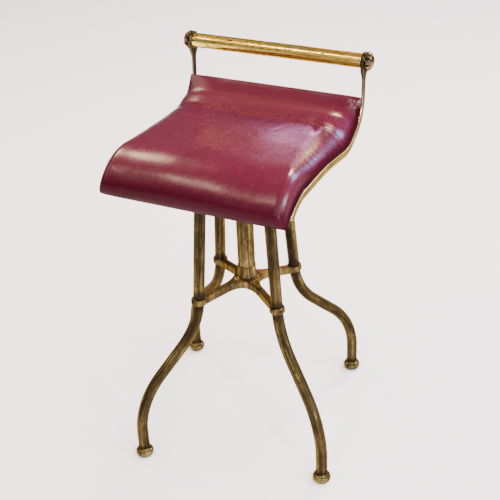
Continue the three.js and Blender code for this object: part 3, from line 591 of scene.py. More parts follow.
def bare_wood(name, light, dark, half_ply=None):
    """Bare wood with its grain across the seat, and dark glue lines where plies show at the edge."""
    paint = Paint(name)
    stretch = (0.06, 1, 1)
    grain = paint.noise(paint.coords(stretch), 260.0, 5.0, 0.6, 0.3)
    rings = paint.noise(paint.coords(stretch), 45.0, 3.0, 0.5, 1.2)
    tone = grain * 0.5 + rings * 0.6
    if half_ply:
        lift = paint.axes(paint.straight())[1]
        line = paint.sum("PINGPONG", lift + 0.01, half_ply) / half_ply
        tone = tone - paint.fade(line, 0.0, 0.25, 0.22)
    paint.feed("Base Color", paint.ramp(tone, (0.36, dark), (0.64, light)))
    paint.feed("Roughness", grain * 0.2 + 0.55)
    paint.bump(grain, 0.3, 0.4 * MM)
    return paint.material


def rest_leather(name):
    """Brown washer leather, dull all over."""
    paint = Paint(name, Roughness=0.8)
    spots = paint.noise(paint.coords(), 400.0, 4.0)
    paint.feed("Base Color", paint.ramp(spots, (0.3, (0.06, 0.03, 0.014)), (0.7, (0.13, 0.07, 0.03))))
    paint.bump(spots, 0.4, 0.4 * MM)
    return paint.material


def seat_leather(name):
    """Oxblood leather with a fine grain, polished by use. Where it turns under and beside the straps it is
    dull, and its colour is darkened there as painted shade; it is less polished at the back."""
    paint = Paint(name, IOR=1.5)
    cloud = paint.noise(paint.coords(), 9.0, 4.0, 0.55)
    mottle = paint.noise(paint.coords(), 70.0, 5.0, 0.6)
    grain = paint.cells(paint.coords(), 620.0, "SMOOTH_F1")
    tone = cloud * 0.6 + mottle * 0.25 + 0.08
    colour = paint.ramp(tone, (0.30, (0.053, 0.0020, 0.010)), (0.50, (0.066, 0.0026, 0.0135)),
                        (0.68, (0.079, 0.0038, 0.020)))
    across, lift, run = paint.axes(paint.straight())
    # Painted shade: low on the sides beside the straps and where the nose turns under, the colour is darkened
    # and the leather made dull.
    beside = paint.spread(abs(across + 0.0025), 0.137, 0.149)
    low = paint.fade(lift, 0.003, 0.021, 0.9) * beside * paint.spread(run, 0.064, 0.080)
    under = paint.spread(run, 0.350, 0.392, 0.0, 0.72)
    dull = paint.sum("MAXIMUM", low, under)
    colour = paint.mix(dull, colour, (0.016, 0.0006, 0.0025))
    paint.feed("Base Color", colour)
    unpolished = paint.fade(run, 0.095, 0.150, 0.085) * paint.fade(across, 0.085, 0.120)
    paint.feed("Roughness", mottle * 0.16 + unpolished + 0.185)
    creases = paint.noise(paint.coords(), 190.0, 4.0, 0.6, 0.8)
    relief = paint.bump(grain * 0.12 + creases * 0.5, 0.42, 0.5 * MM)
    inputs = {"Base Color": colour, "Roughness": 0.7, "IOR": 1.08, "Normal": relief}
    paint.blend(dull * 1.25, paint.node("ShaderNodeBsdfPrincipled", None, inputs))
    return paint.material


# Tones of brass from grime to rubbed metal, and where it is darkened: painted shade with grime where the legs
# meet their feet and collars, and darker uprights on the straps

LEG_TONES = ((0.014, 0.009, 0.005), (0.046, 0.031, 0.012), (0.130, 0.088, 0.032), (0.34, 0.255, 0.120))
PALE_TONES = ((0.045, 0.026, 0.010), (0.17, 0.105, 0.034), (0.40, 0.275, 0.090), (0.74, 0.60, 0.31))
STRAP_TONES = ((0.010, 0.008, 0.006), (0.050, 0.039, 0.021), (0.155, 0.124, 0.064), (0.52, 0.44, 0.27))
RAIL_TONES = ((0.036, 0.018, 0.006), (0.22, 0.135, 0.028), (0.66, 0.46, 0.085), (1.0, 0.80, 0.26))
DARK_TONES = ((0.008, 0.006, 0.004), (0.028, 0.018, 0.011), (0.075, 0.052, 0.030), (0.24, 0.18, 0.11))
# Painted shade with grime where the legs meet their feet and collars.
LEG_SHADE_AND_GRIME = ((0.282, 0.012, 0.16), (0.020, 0.010, 0.14), (0.262, 0.010, 0.10))
# The straps are darker up their uprights.
STRAP_UPRIGHTS_DARKER = ((0.64, 0.10, 0.42),)

leg_finish = aged_brass("leg_brass", LEG_TONES, 0.64, 0.21, darkened_at=LEG_SHADE_AND_GRIME, contrast=1.4)
foot_finish = aged_brass("foot_brass", LEG_TONES, 0.45, 0.16)
column_finish = aged_brass("column_brass", LEG_TONES, 0.55, 0.26, shift=(0.3, 0.1, 0.5), contrast=1.35)
casting_finish = aged_brass("casting_brass", LEG_TONES, 0.58, 0.28, straight=False)
crown_finish = aged_brass("crown_brass", DARK_TONES, 0.6, 0.32, straight=False)
# Its edges are lightened, partly wear and partly painted highlight.
strap_finish = aged_brass("strap_brass", STRAP_TONES, 0.54, 0.26, darkened_at=STRAP_UPRIGHTS_DARKER, edge=0.34)
rail_finish = aged_brass("rail_brass", RAIL_TONES, 0.45, 0.26, contrast=1.5, pitting=0.36)
knob_finish = aged_brass("knob_brass", DARK_TONES, 0.34, 0.14)
eye_finish = aged_brass("eye_brass", DARK_TONES, 0.5, 0.22, straight=False)
nut_finish = aged_brass("nut_brass", PALE_TONES, 0.5, 0.25, straight=False)
steel_finish = plain_steel("screw_steel", (0.30, 0.28, 0.26))
thread_finish = plain_steel("thread_steel", (0.36, 0.33, 0.29))
iron_finish = cast_iron("dull_iron")
leather_finish = seat_leather("seat_leather")
board_finish = bare_wood("board_plywood", (0.22, 0.125, 0.052), (0.10, 0.050, 0.020), 0.7 * MM)
block_finish = bare_wood("block_beech", (0.25, 0.150, 0.068), (0.14, 0.078, 0.032))
washer_finish = rest_leather("washer_leather")


# Legs and feet

STREAK_SHIFT, FOOT_STREAK_SHIFT = 900, 70

leg_line = Line(LEG_LINE, LEG_BENDS, LEG_STEP)


def foot_outline():
    """A button with a round belly, a moulded neck and the bore that the tube stands in."""
    outline = [(0, 0), (7.6, 0), (FOOT_SOLE, 0.5)]
    for k in range(1, 16):
        share = k / 16
        base = FOOT_SOLE + (FOOT_NECK - FOOT_SOLE) * share
        bulge = (FOOT_BALL - (FOOT_SOLE + FOOT_NECK) / 2) * math.sin(math.pi * share)
        outline.append((base + bulge, FOOT_BALL_HEIGHT * (1 - math.cos(math.pi * share)) / 2))
    neck = [(11.3, 13.7), (10.7, 14.4), (10.5, 15.6), (10.7, 16.8), (10.9, 17.6), (10.6, 18.0)]
    bore = [(9.7, 18.0), (9.6, 17.0), (9.6, FOOT_FLOOR), (0, FOOT_FLOOR)]
    return outline + neck + bore


for quarter, corner in enumerate(CORNERS):
    bm = new_mesh()
    ring = round_section(bm, LEG_RADIUS, 40)
    draw_along(bm, ring, leg_line.part(0, leg_line.length), apart=(0, 0, quarter * STREAK_SHIFT))
    make_piece("leg_" + corner + "_tube", bm, "base", ["leg_" + corner], leg_finish,
               around_column(quarter), 60)
    turned_piece("foot_" + corner + "_button", foot_outline(), 64, "base", ["foot_" + corner],
                 foot_finish, around_column(quarter) @ Matrix.Translation((FOOT_RADIUS, 0, 0)),
                 (0, 0, quarter * FOOT_STREAK_SHIFT))


# Castings, with arms drawn half a millimetre too deep, which the rounding of the skin takes off

FILLET_SWEEP, FILLET_STEPS = math.radians(50), 12


def cast_arm(bm, reach, fillet, depth, height, rise):
    """An arm that rises to the hub and widens there, drawn as a ring of a square bar."""
    ring = flat_section(bm, [(1, -1), (1, 1), (-1, 1), (-1, -1)])
    stations = []
    for k in range(FILLET_STEPS, -1, -1):
        angle = FILLET_SWEEP * k / FILLET_STEPS
        stations.append((ARM_HALF_WIDTH + fillet * (1 - math.sin(angle)),
                         ARM_HALF_WIDTH + fillet * (1 - math.cos(angle))))
    stations.append((reach, ARM_HALF_WIDTH))
    widths = {round(out, 4): half for out, half in stations}
    line = [(Vector((out, height + rise * (1 - out / reach))), Vector((1, 0)), out) for out, _ in stations]

    def shape(across, lift, out):
        return across * widths[round(out, 4)], lift * depth / 2

    draw_along(bm, ring, line, shape)


def cast_together(name, bm, voxel, smooth, nodes, finish):
    """Joins the shells of a casting into one skin and rounds its corners as a foundry pattern does."""
    piece = make_piece(name, bm, "base", nodes, finish)
    joined = piece.modifiers.new("joined", "REMESH")
    joined.mode = "VOXEL"
    joined.voxel_size = voxel * MM
    smoothed = piece.modifiers.new("smoothed", "SMOOTH")
    smoothed.factor = 0.5
    smoothed.iterations = smooth
    settle(piece)
    piece.data.shade_smooth()


def copies_round(bm, make, *sizes):
    """Makes one copy for each leg, in the base's own directions."""
    for quarter in range(4):
        before = set(bm.verts)
        make(bm, *sizes)
        fresh = [vertex for vertex in bm.verts if vertex not in before]
        bmesh.ops.transform(bm, matrix=around_column(quarter), verts=fresh)


COLLAR = ((9.9, -5.5), (12.6, -5.5), (12.9, -5.0), (12.9, 2.6), (12.4, 3.3), (11.6, 3.5), (11.6, 5.2),
          (11.2, 5.6), (9.9, 5.6), (9.9, -5.5))
SPIDER_HUB = ((14.7, HUB_BOTTOM - 0.2), (20, HUB_BOTTOM - 0.2), (21.3, HUB_BOTTOM + 1),
              (21.3, HUB_TOP - 2.6), (18.6, HUB_TOP + 0.2), (14.7, HUB_TOP + 0.2), (14.7, HUB_BOTTOM - 0.2))

spider = new_mesh()
copies_round(spider, cast_arm, SPIDER_REACH - 6, SPIDER_FILLET, ARM_DEPTH + 0.6, SPIDER_HEIGHT, SPIDER_RISE)
copies_round(spider, turn_outline, COLLAR, 48, on_leg(COLLAR_HEIGHT))
turn_outline(spider, SPIDER_HUB)
cast_together("spider_casting", spider, 1.1, 6, ["lower_spider"], casting_finish)

DOME_RADIUS, DOME_HEIGHT = 12.6, 5.3
dome = [(radius, height * DOME_HEIGHT / DOME_RADIUS)
        for radius, height in arc((0, 0), DOME_RADIUS, 0.1, 0.9, 6)[1:-1]]
SOCKET = ((9.9, -22.4), (11.5, -22.4), (12.8, -21), (12.8, 0), *dome, (0, DOME_HEIGHT), (0, 0.4), (9.9, 0.4),
          (9.9, -22.4))
NUT_SHOULDER = CROWN_TOP - 28.4
CROWN_HUB = ((14.7, CROWN_BOTTOM), (22.2, CROWN_BOTTOM), (24.2, CROWN_BOTTOM + 2), (24.2, CROWN_TOP - 2),
             (22.2, CROWN_TOP + 0.1), (15.4, CROWN_TOP + 0.1), (15.4, NUT_SHOULDER), (14.7, NUT_SHOULDER),
             (14.7, CROWN_BOTTOM))

crown = new_mesh()
copies_round(crown, cast_arm, leg_out(CROWN_ARM_HEIGHT) - 4, CROWN_FILLET, CROWN_ARM_DEPTH + 0.5,
             CROWN_ARM_HEIGHT, 0)
copies_round(crown, turn_outline, SOCKET, 48, on_leg(LEG_TOP + FIT))
turn_outline(crown, CROWN_HUB)
cast_together("crown_brass", crown, 1.3, 5, ["crown_casting"], crown_finish)


# Column, its ferrule and cap

bm = new_mesh()
ring = round_section(bm, COLUMN_RADIUS, 56)
draw_along(bm, ring, upright((HUB_BOTTOM + FIT, 300, 350, 400, COLUMN_TOP)), apart=(0, 0, 4000))
make_piece("column_tube_drawn", bm, "base", ["column_tube"], column_finish, None, 60)

ferrule = [(14.6, HUB_TOP), (17.0, HUB_TOP), (17.3, HUB_TOP + 0.5), (17.3, HUB_TOP + 1.6),
           (16.6, HUB_TOP + 2.8)]
for k in range(9):
    share = k / 8
    ferrule.append((15.25 + 1.1 * (1 - share) ** 2, HUB_TOP + 3 + (FERRULE_HEIGHT - 3) * share))
ferrule += [(14.6, HUB_TOP + FERRULE_HEIGHT), (14.6, HUB_TOP)]
turned_piece("column_ferrule_turned", ferrule, 56, "base", ["column_ferrule"], column_finish)

cap = [(0, HUB_BOTTOM - CAP_RIM - CAP_DOME)]
for k in range(1, 9):
    angle = QUARTER * k / 8
    cap.append((CAP_RADIUS * math.sin(angle), HUB_BOTTOM - CAP_RIM - CAP_DOME * math.cos(angle)))
cap += [(CAP_RADIUS, HUB_BOTTOM), (12.4, HUB_BOTTOM), (12.4, HUB_BOTTOM + CAP_SPIGOT),
        (0, HUB_BOTTOM + CAP_SPIGOT)]
turned_piece("column_cap_turned", cap, 56, "base", ["column_cap"], crown_finish)


# Lifting screw, in its own frame so that its thread meets the nut's

TOOTH_FOOT = 6.8
TOOTH_HALF, CREST_HALF = LEAD * 0.26, LEAD * 0.15
THREAD_START = JOURNAL_TOP + TOOTH_HALF + FIT
STEPS_PER_TURN = 32

bm = new_mesh()
turn_outline(bm, [
    (0, GUIDE_NUT_TOP - 8), (STUD_RADIUS - 0.4, GUIDE_NUT_TOP - 8), (STUD_RADIUS, GUIDE_NUT_TOP - 7.5),
    (STUD_RADIUS, GUIDE_NUT_TOP), (JOURNAL_RADIUS, GUIDE_NUT_TOP), (JOURNAL_RADIUS, JOURNAL_TOP),
    (ROOT_RADIUS - 0.4, JOURNAL_TOP), (ROOT_RADIUS, JOURNAL_TOP + 0.5), (ROOT_RADIUS, NUT_TOP - 0.4),
    (SHANK_RADIUS, NUT_TOP), (SHANK_RADIUS, PLATE_TOP - 0.8), (SHANK_RADIUS - 0.4, PLATE_TOP - FIT),
    (0, PLATE_TOP - FIT),
])
turns = (NUT_TOP - TOOTH_HALF - THREAD_START) / LEAD
flank = ((TOOTH_FOOT, TOOTH_HALF), (CREST_RADIUS - 0.15, CREST_HALF), (CREST_RADIUS, CREST_HALF - 0.2))
profile = [(radius, -height) for radius, height in flank] + list(reversed(flank))
tooth = [bm.verts.new((radius, 0, THREAD_START + height)) for radius, height in profile]
edges = [bm.edges.new(pair) for pair in zip(tooth, tooth[1:] + tooth[:1])]
before = set(bm.faces)
steps = round(turns * STEPS_PER_TURN)
swept = bmesh.ops.spin(
    bm, geom=tooth + edges, cent=(0, 0, 0), axis=(0, 0, 1), dvec=(0, 0, turns * LEAD / steps),
    angle=FULL * turns, steps=steps, use_merge=False,
)
bmesh.ops.contextual_create(bm, geom=edges)
bmesh.ops.contextual_create(bm, geom=edges_of(swept["geom_last"]))
bmesh.ops.recalc_face_normals(bm, faces=[face for face in bm.faces if face not in before])
make_piece("lift_screw_threaded", bm, "seat", ["lift_screw"], thread_finish, None, 35)


# Seat plate, rest washer, board and its back lining

PLATE_BORE, WASHER_BORE = 8.4, 8.3
LINING_THICKNESS, LINING_OVERHANG = 1.4, 3
ACROSS_SEAT = Matrix.Rotation(QUARTER, 4, "Z")

plate = [(PLATE_BORE, WASHER_HIGH), (BOSS_RADIUS - 0.8, WASHER_HIGH), (BOSS_RADIUS, WASHER_HIGH + 0.8)]
plate += arc((BOSS_RADIUS + BOSS_FLARE, PLATE_BOTTOM - BOSS_FLARE), BOSS_FLARE, 2, 1, 8)
plate += [(PLATE_RADIUS - 1.2, PLATE_BOTTOM), (PLATE_RADIUS - 0.4, PLATE_BOTTOM + 0.4),
          (PLATE_RADIUS, PLATE_BOTTOM + 1.2), (PLATE_RADIUS, PLATE_TOP), (PLATE_BORE, PLATE_TOP),
          (PLATE_BORE, WASHER_HIGH)]
turned_piece("seat_plate_cast", plate, 96, "seat", ["seat_plate"], iron_finish)

washer = [(WASHER_BORE, WASHER_LOW), (WASHER_RADIUS - 0.4, WASHER_LOW), (WASHER_RADIUS, WASHER_LOW + 0.4),
          (WASHER_RADIUS, WASHER_HIGH - 0.4), (WASHER_RADIUS - 0.4, WASHER_HIGH), (WASHER_BORE, WASHER_HIGH),
          (WASHER_BORE, WASHER_LOW)]
turned_piece("rest_washer_cut", washer, 64, "seat", ["rest_washer"], washer_finish)


def seat_strip(name, low, high, start, end, nodes, finish, edge):
    """A strip as wide as the board that follows the seat line between two distances."""
    bm = new_mesh()
    half = BOARD_WIDTH / 2
    ring = flat_section(bm, [(half, -high), (half, -low), (-half, -low), (-half, -high)])
    draw_along(bm, ring, seat_line.part(start, end))
    piece = make_piece(name, bm, "seat", nodes, finish, ACROSS_SEAT)
    round_edges(piece, edge, 2)


seat_strip("seat_board_bent", BOARD_LOW, BOARD_HIGH, BOARD_START, seat_line.length, ["seat_board"],
           board_finish, 0.7)
back_bar = BOARD_START + (seat_line.length - BOARD_START) * BACK_BAR_SHARE
seat_strip("back_lining_leather", BOARD_LOW - FIT - LINING_THICKNESS, BOARD_LOW - FIT,
           BOARD_START - LINING_OVERHANG, back_bar - BAR_WIDTH / 2 - 1.4, ["back_lining"],
           leather_finish, 0.5)


# Side straps

STRAP_START, NECK_START, NECK_END = 9, 10, 31
STRAP_END, STRAP_TIP = seat_line.length - 15, 5.5
FULL_DEPTH = seat_line.length * 0.36
EYE = ((4.3, -3), (11.4, -3), (13.4, -2.7), (14.5, -1.8), (14.8, -0.6), (14.8, 0.6), (14.5, 1.8),
       (13.4, 2.7), (11.4, 3), (4.3, 3), (4.3, -3))
ON_RAIL = Matrix.Rotation(QUARTER, 4, "Y")


def eased(value, low, high):
    """How far a value is from low to high, eased at both ends."""
    share = min(max((value - low) / (high - low), 0), 1)
    return share * share * (3 - 2 * share)


def strap_half_depth(run):
    """The strap deepens from its upright to the seat, and has a round end under the leather."""
    deepened = eased(run, BOARD_START / 2, FULL_DEPTH)
    half = (UPRIGHT_DEPTH + (STRAP_DEPTH - UPRIGHT_DEPTH) * deepened) / 2
    to_end = min((STRAP_END - run) / half, 1)
    return half * math.sqrt(max(1 - (1 - to_end) ** 2, 0.02))


def side_strap(hand, sign):
    """A flat bar that thickens into its neck, and the eye on the rail as a piece of its own."""
    bm = new_mesh()
    half = STRAP_THICKNESS / 2
    ring = flat_section(bm, [(half, -1), (half, 1), (-half, 1), (-half, -1)])

    def shape(across, lift, run):
        neck = 1 - eased(run, NECK_START, NECK_END)
        return across * (1 + 0.75 * neck), lift * (strap_half_depth(run) + 6.4 * neck)

    tip = [STRAP_END - STRAP_TIP * (1 - math.sin(QUARTER * k / 5)) for k in range(6)]
    stations = seat_line.part(STRAP_START, NECK_END, 12)[:-1]
    stations += seat_line.part(NECK_END, STRAP_END - 6) + seat_line.along(tip)
    draw_along(bm, ring, stations, shape, apart=(100 * (sign + 1), 0, 0))
    shift = Matrix.Translation((sign * STRAP_MIDDLE, 0, 0))
    piece = make_piece("strap_" + hand + "_bar", bm, "seat", ["strap_" + hand], strap_finish,
                       shift @ ACROSS_SEAT)
    round_edges(piece, 0.7, 3)
    placed = Matrix.Translation((sign * STRAP_MIDDLE, RAIL_BACK, RAIL_HEIGHT)) @ ON_RAIL
    turned_piece("strap_" + hand + "_eye", EYE, 56, "seat", [], eye_finish, placed)


side_strap("left", -1)
side_strap("right", 1)


# Back rail and its knobs

ALONG_RAIL = Matrix.Translation((0, RAIL_BACK, RAIL_HEIGHT)) @ ON_RAIL
RAIL_REACH, RAIL_STEPS = STRAP_MIDDLE - 3 - FIT, 24
KNOB_RADIUS, KNOB_LOBES, LOBE_DEPTH = 14.6, 8, 0.13
ROUND_MIDDLE = 5

bm = new_mesh()
ring = round_section(bm, RAIL_RADIUS, 56)
places = [-RAIL_REACH + 2 * RAIL_REACH * k / RAIL_STEPS for k in range(RAIL_STEPS + 1)]
draw_along(bm, ring, upright(places), apart=(0, 0, 2000))
make_piece("rail_tube_drawn", bm, "seat", ["rail_tube"], rail_finish, ALONG_RAIL, 60)


def end_knob(hand, sign):
    """A domed knob that is drawn in between the lobes of its rim."""
    bm = new_mesh()
    outline = [(0, 8.3), (4.3, 8.3), (4.3, 0), (13.6, 0), (14.6, 0.4), (15.1, 1.2), (15.2, 3.2), (14.9, 4.0)]
    for k in range(1, 12):
        angle = QUARTER * k / 12
        outline.append((KNOB_RADIUS * math.cos(angle) ** 1.15, 4 + 8 * math.sin(angle)))
    outline.append((0, 12))
    turn_outline(bm, outline, 96)
    for vertex in bm.verts:
        radius = math.hypot(vertex.co.x, vertex.co.y)
        if radius > ROUND_MIDDLE:
            angle = math.atan2(vertex.co.y, vertex.co.x)
            wave = (1 + math.cos(KNOB_LOBES * angle)) / 2
            dip = 1 - LOBE_DEPTH * wave ** 0.7 * min((radius - ROUND_MIDDLE) / 6, 1)
            vertex.co.x *= dip
            vertex.co.y *= dip
    lifted = Matrix.Translation((0, 0, STRAP_MIDDLE + 3 + FIT))
    if sign < 0:
        lifted = Matrix.Rotation(math.pi, 4, "Y") @ lifted
    make_piece("knob_" + hand + "_domed", bm, "seat", ["knob_" + hand], knob_finish,
               ALONG_RAIL @ lifted, 30)


end_knob("left", -1)
end_knob("right", 1)


# Cushion. A hand of 1 is the right half of its section and -1 the left one. The tables give heights
# above the board, and the width of the roll at the edge, at distances along the seat line.

CUSHION_LOW = BOARD_HIGH + 0.8
CUSHION_START = BOARD_START - 7.5
CUSHION_END = seat_line.length + 3
CUSHION_STEPS, END_GATHERING = 92, 0.6
NOSE_DEPTH = 15
SIDES = {1: (149.3, 150.0), -1: (149.0, 154.8)}
MIDDLE_HEIGHTS = (
    (56.5, 1.5), (59, 4), (68, 12.4), (82, 20.2), (102, 27.2), (130, 32.6), (150, 33.8), (172, 32.6),
    (194, 31.0), (229, 30.3), (263, 31.2), (297, 33.0), (332, 34.4), (366, 32.0), (401, 25.0),
)
SIDE_HEIGHTS = (
    (56.5, 1.5), (60.5, 5.4), (65, 9.2), (70, 12.6), (76, 16.2), (82, 19.4), (91, 23.6), (102, 28.0),
    (117, 32.4), (134, 35.2), (155, 36.2), (180, 34.4), (211, 30.2), (236, 27.6), (263, 26.9),
    (297, 28.0), (332, 29.4), (366, 27.4), (401, 21.6),
)
ROLL_WIDTHS = ((56, 44), (110, 50), (180, 46), (255, 37), (310, 27), (350, 18), (401, 16))
ROLL_ENDS = {1: math.radians(70), -1: QUARTER}

nose_run = (Vector(SEAT_LINE[-1]) - Vector(SEAT_LINE[-2])).normalized()
cushion_line = Line((*SEAT_LINE[:-1], Vector(SEAT_LINE[-1]) + nose_run * 3), SEAT_BENDS, CURVE_STEP)


def read_smoothly(table, place):
    """A table of places and values read anywhere, along a smooth curve through its entries."""
    place = min(max(place, table[0][0]), table[-1][0])
    i = next(k for k in range(len(table) - 1) if place <= table[k + 1][0])

    def slope(k):
        before, after = table[max(k - 1, 0)], table[min(k + 1, len(table) - 1)]
        return (after[1] - before[1]) / (after[0] - before[0])

    (start, low), (end, high) = table[i], table[i + 1]
    step = end - start
    t = (place - start) / step
    return (low * (2 * t ** 3 - 3 * t ** 2 + 1) + high * (3 * t ** 2 - 2 * t ** 3)
            + step * (slope(i) * (t ** 3 - 2 * t ** 2 + t) + slope(i + 1) * (t ** 3 - t ** 2)))


def nose_roll(run):
    """How far the leather has risen from the front end of the board."""
    to_end = min((CUSHION_END - run) / NOSE_DEPTH, 1)
    return 0.22 + 0.78 * math.sqrt(max(0.0, 1 - (1 - to_end) ** 2))


RING = [("foot", k / 6) for k in range(0, 6)] + [("hem", k / 3) for k in range(4)]
RING += [("side", k / 4) for k in range(1, 4)] + [("roll", k / 14) for k in range(15)]
RING += [("crown", k / 22) for k in range(1, 23)]


def cushion_spot(kind, share, run, hand):
    """Across and up on one half of the section: a flat foot, a stitched hem, a side that swells out, a
    broad roll and the crown."""
    foot, reach = SIDES[hand]
    height = read_smoothly(SIDE_HEIGHTS, run) * nose_roll(run)
    crown = read_smoothly(MIDDLE_HEIGHTS, run) * nose_roll(run) - height
    width = read_smoothly(ROLL_WIDTHS, run)
    low = min(1.3, height / 5)
    end = ROLL_ENDS[hand]
    drop = height - 2 * low if hand == 1 else min(22, height * 0.76)
    if kind == "foot":
        across, lift = foot * share, 0
    elif kind == "hem":
        angle = math.pi * share
        across, lift = foot + 0.8 * math.sin(angle), low * (1 - math.cos(angle)) / 2
    elif kind == "side":
        across = foot + (reach - foot) * math.sin(QUARTER * share) ** 0.8
        lift = low + (height - drop - low) * share
    elif kind == "roll":
        angle = end * (1 - share)
        across = reach - width * (1 - math.sin(angle) / math.sin(end))
        lift = height - drop * (1 - math.cos(angle)) / (1 - math.cos(end))
    else:
        across, lift = (reach - width) * (1 - share), height
    middle = 1 - eased(across, 30, reach - 30)
    return across * hand, lift + crown * middle * (lift / max(height, 1))


def cushion_place(across, lift, run):
    """Where a spot of the cushion is: millimetres across, above the board and along the seat line."""
    point, direction = cushion_line.at(run)
    normal = Vector((direction.y, -direction.x))
    back, up = point + normal * (CUSHION_LOW + lift)
    return Vector((across, back, up))


def cushion_mesh():
    """The cushion's skin, with its stations gathered towards its ends."""
    bm = new_mesh()
    straight = bm.verts.layers.float_vector["straight"]
    spots = [(kind, share, 1) for kind, share in RING]
    spots += [(kind, share, -1) for kind, share in reversed(RING[1:-1])]
    ring = flat_section(bm, [(i, 0) for i in range(len(spots))])
    runs = []
    for k in range(CUSHION_STEPS + 1):
        even = k / CUSHION_STEPS
        gathered = (1 - math.cos(math.pi * even)) / 2
        share = even + (gathered - even) * END_GATHERING
        runs.append(CUSHION_START + (CUSHION_END - CUSHION_START) * share)
    draw_along(bm, ring, cushion_line.along(runs))
    for vertex in bm.verts:
        index, _, run = vertex[straight]
        kind, share, hand = spots[round(index)]
        across, lift = cushion_spot(kind, share, run, hand)
        vertex[straight] = Vector((across, lift, run))
        vertex.co = cushion_place(across, lift, run)
    bm.normal_update()
    bmesh.ops.recalc_face_normals(bm, faces=bm.faces[:])
    return bm


CREASE_CENTRE, CREASE_RADIUS, CREASE_DEPTH = Vector((45, 11)), 69, 3.3
TUCK_ANGLE = 0.6


def hill(*spans):
    """A smooth hill, 1 at its middle, from the distances to its middle and its width in each direction."""
    return math.exp(-sum((far / width) ** 2 for far, width in spans))


def tucks(from_end, from_side, low, count):
    """Small folds that fan out from a corner of the cushion."""
    angle = math.atan2(max(from_end, 0.1), max(from_side, 0.1))
    reach = math.hypot(from_end, from_side)
    near = (1 - eased(reach, 8, 34)) * eased(reach, 1, low)
    return near * max(0.0, math.cos(count * (angle - TUCK_ANGLE))) ** 3


def worked_in(across, lift, run, place):
    """How far the leather stands out or in at a spot, in millimetres: what sitting and tacking left."""
    out = 0.30 * noise.noise(Vector((across, run, 0)) / 60)
    out += 0.07 * noise.noise(Vector((across, run, 40)) / 17)
    flat = Vector((place.x, place.y)) - CREASE_CENTRE
    turned = math.degrees(math.atan2(flat.y, flat.x))
    around = eased(turned, 5, 38) * (1 - eased(turned, 52, 84))
    far = flat.length - CREASE_RADIUS
    out -= CREASE_DEPTH * math.exp(far / 24 if far < 0 else -far / 12) * around
    from_right = SIDES[1][1] - across
    from_left = SIDES[-1][1] + across
    from_back = run - CUSHION_START
    from_front = CUSHION_END - run
    wrinkle = noise.noise(Vector((run / 5.5, across / 24, 7))) * (0.4 + noise.noise(Vector((run / 40, 3, 0))))
    beside = eased(from_right, 3, 12) * (1 - eased(from_right, 24, 40))
    out += 0.38 * wrinkle * beside * eased(from_back, 60, 110)
    out += 1.6 * hill((from_left - 24, 24), (from_back - 14, 16))
    out += 3.0 * hill((from_right - 5, 9), (from_back - 7, 8))
    out -= 1.6 * hill((from_right, 12), (from_back - 24, 18))
    out -= 0.9 * tucks(from_back, from_right, 8, 6)
    out -= 0.25 * tucks(from_front, from_right, 7, 11)
    return out * eased(lift, 1, 6)


def work_in(piece):
    """Moves each point of the cushion along its normal by what was worked in there."""
    mesh = piece.data
    straight = mesh.attributes["straight"].data
    ways = [vertex.normal.copy() for vertex in mesh.vertices]
    for vertex, way, spot in zip(mesh.vertices, ways, straight):
        across, lift, run = spot.vector / MM
        vertex.co += way * MM * worked_in(across, lift, run, vertex.co / MM)


cushion = make_piece("seat_cushion_leather", cushion_mesh(), "seat", ["seat_cushion"],
                     leather_finish, None, 80)
finer = cushion.modifiers.new("finer", "SUBSURF")
finer.levels = finer.render_levels = 1
settle(cushion)
work_in(cushion)
soften(cushion.data, 80)


# Finishes of the CAD nodes that stay as they are

STAYING = {
    "lift_nut": nut_finish, "guide_bush": nut_finish, "guide_nut": steel_finish, "screw_pin": steel_finish,
    "seat_block": block_finish, "cross_bar_front": iron_finish, "cross_bar_back": iron_finish,
    "rail_rod": steel_finish,
}
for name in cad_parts:
    if name.startswith(("plate_screw_", "bar_screw_", "socket_screw_")):
        STAYING[name] = steel_finish
    elif name.startswith("collar_pin_"):
        STAYING[name] = crown_finish
for name, finish in STAYING.items():
    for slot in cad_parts[name].material_slots:
        slot.material = finish


# Floor, world and lights

FLOOR_SIZE = 6.0
WORLD_COLOUR, WORLD_BRIGHTNESS = (0.86, 0.90, 1.0, 1), 0.24
SEAT_MIDDLE = Vector((0, 0, 0.53))
SOFT_WHITE, WINDOW_WHITE = (1.0, 0.98, 0.95), (0.90, 0.96, 1.0)
floor_paint = Paint("floor", Roughness=0.9)
shade = floor_paint.noise(floor_paint.coords(), 0.8, 2.0)
floor_paint.feed("Base Color", floor_paint.mix(shade, (0.88, 0.88, 0.88), (0.92, 0.92, 0.92)))
bm = bmesh.new()
bmesh.ops.create_grid(bm, x_segments=1, y_segments=1, size=FLOOR_SIZE)
floor_mesh = bpy.data.meshes.new("floor")
bm.to_mesh(floor_mesh)
bm.free()
floor_mesh.materials.append(floor_paint.material)
floor = bpy.data.objects.new("floor", floor_mesh)
bpy.context.scene.collection.objects.link(floor)

world = bpy.data.worlds.new("studio")
bpy.context.scene.world = world
world.use_nodes = True
world.node_tree.nodes["Background"].inputs["Color"].default_value = WORLD_COLOUR
world.node_tree.nodes["Background"].inputs["Strength"].default_value = WORLD_BRIGHTNESS


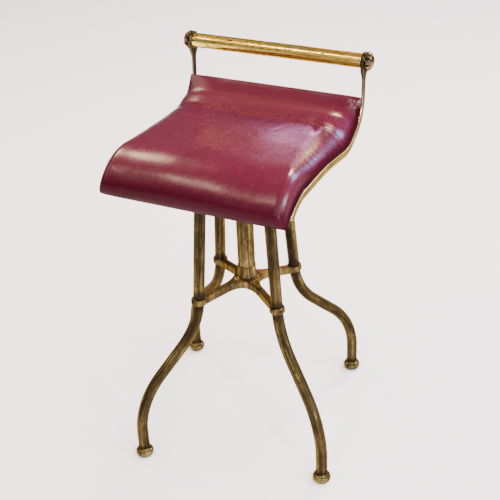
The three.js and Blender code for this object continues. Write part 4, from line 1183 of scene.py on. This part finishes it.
def soft_light(name, direction, distance, size, brightness, colour):
    """A softbox on a direction from the seat, its size in metres across and up. Its brightness is that
    of its face, whatever its size."""
    data = bpy.data.lights.new(name, "AREA")
    data.shape = "ELLIPSE"
    data.size, data.size_y = size
    data.energy = brightness * math.pi ** 2 / 4 * size[0] * size[1]
    data.color = colour
    light = bpy.data.objects.new(name, data)
    bpy.context.scene.collection.objects.link(light)
    direction = Vector(direction).normalized()
    light.location = SEAT_MIDDLE + direction * distance
    light.rotation_euler = direction.to_track_quat("Z", "Y").to_euler()


sun_data = bpy.data.lights.new("daylight", "SUN")
sun_data.angle = math.radians(70)
sun_data.energy = 5.4
sun_data.color = (1.0, 0.985, 0.96)
sun = bpy.data.objects.new("daylight", sun_data)
bpy.context.scene.collection.objects.link(sun)
sun.visible_glossy = False
sun.rotation_euler = Vector((0.42, 0.10, 0.90)).to_track_quat("Z", "Y").to_euler()

soft_light("fill", (0.50, -0.71, 0.50), 3.2, (3.0, 1.5), 3.6, SOFT_WHITE)
soft_light("front_top", (0.42, -0.42, 0.80), 3.0, (2.0, 1.4), 1.6, SOFT_WHITE)
soft_light("front_panel", (0.0, -0.87, 0.50), 2.8, (0.6, 1.1), 24.0, (1.0, 0.96, 0.84))
soft_light("low_window", (0.80, -0.56, 0.21), 2.8, (0.50, 0.8), 66.0, WINDOW_WHITE)
soft_light("right_window", (0.95, 0.17, 0.26), 2.8, (0.45, 0.8), 44.0, WINDOW_WHITE)
soft_light("ceiling", (-0.38, 0.45, 0.81), 3.2, (3.2, 3.2), 0.1, (1.0, 0.97, 0.95))
soft_light("key", (-0.40, -0.42, 0.81), 2.4, (1.0, 0.10), 100.0, (1.0, 0.68, 0.50))
soft_light("left_spot", (-0.67, 0.28, 0.69), 2.4, (0.44, 0.36), 84.0, (1.0, 0.66, 0.46))
soft_light("ridge", (0.12, 0.75, 0.65), 2.4, (0.90, 0.58), 64.0, (1.0, 0.66, 0.42))
soft_light("window", (0.54, 0.73, 0.41), 2.6, (0.90, 0.9), 22.0, (0.42, 0.52, 1.0))
soft_light("side_window", (0.90, -0.12, 0.40), 2.6, (1.3, 0.8), 12.0, (0.80, 0.88, 1.0))
soft_light("sheen", (-0.24, 0.93, 0.28), 3.0, (0.5, 0.70), 22.0, (1.0, 0.46, 0.90))
soft_light("left_wall", (-0.80, -0.27, 0.53), 2.8, (1.8, 1.1), 3.6, (1.0, 0.95, 0.84))
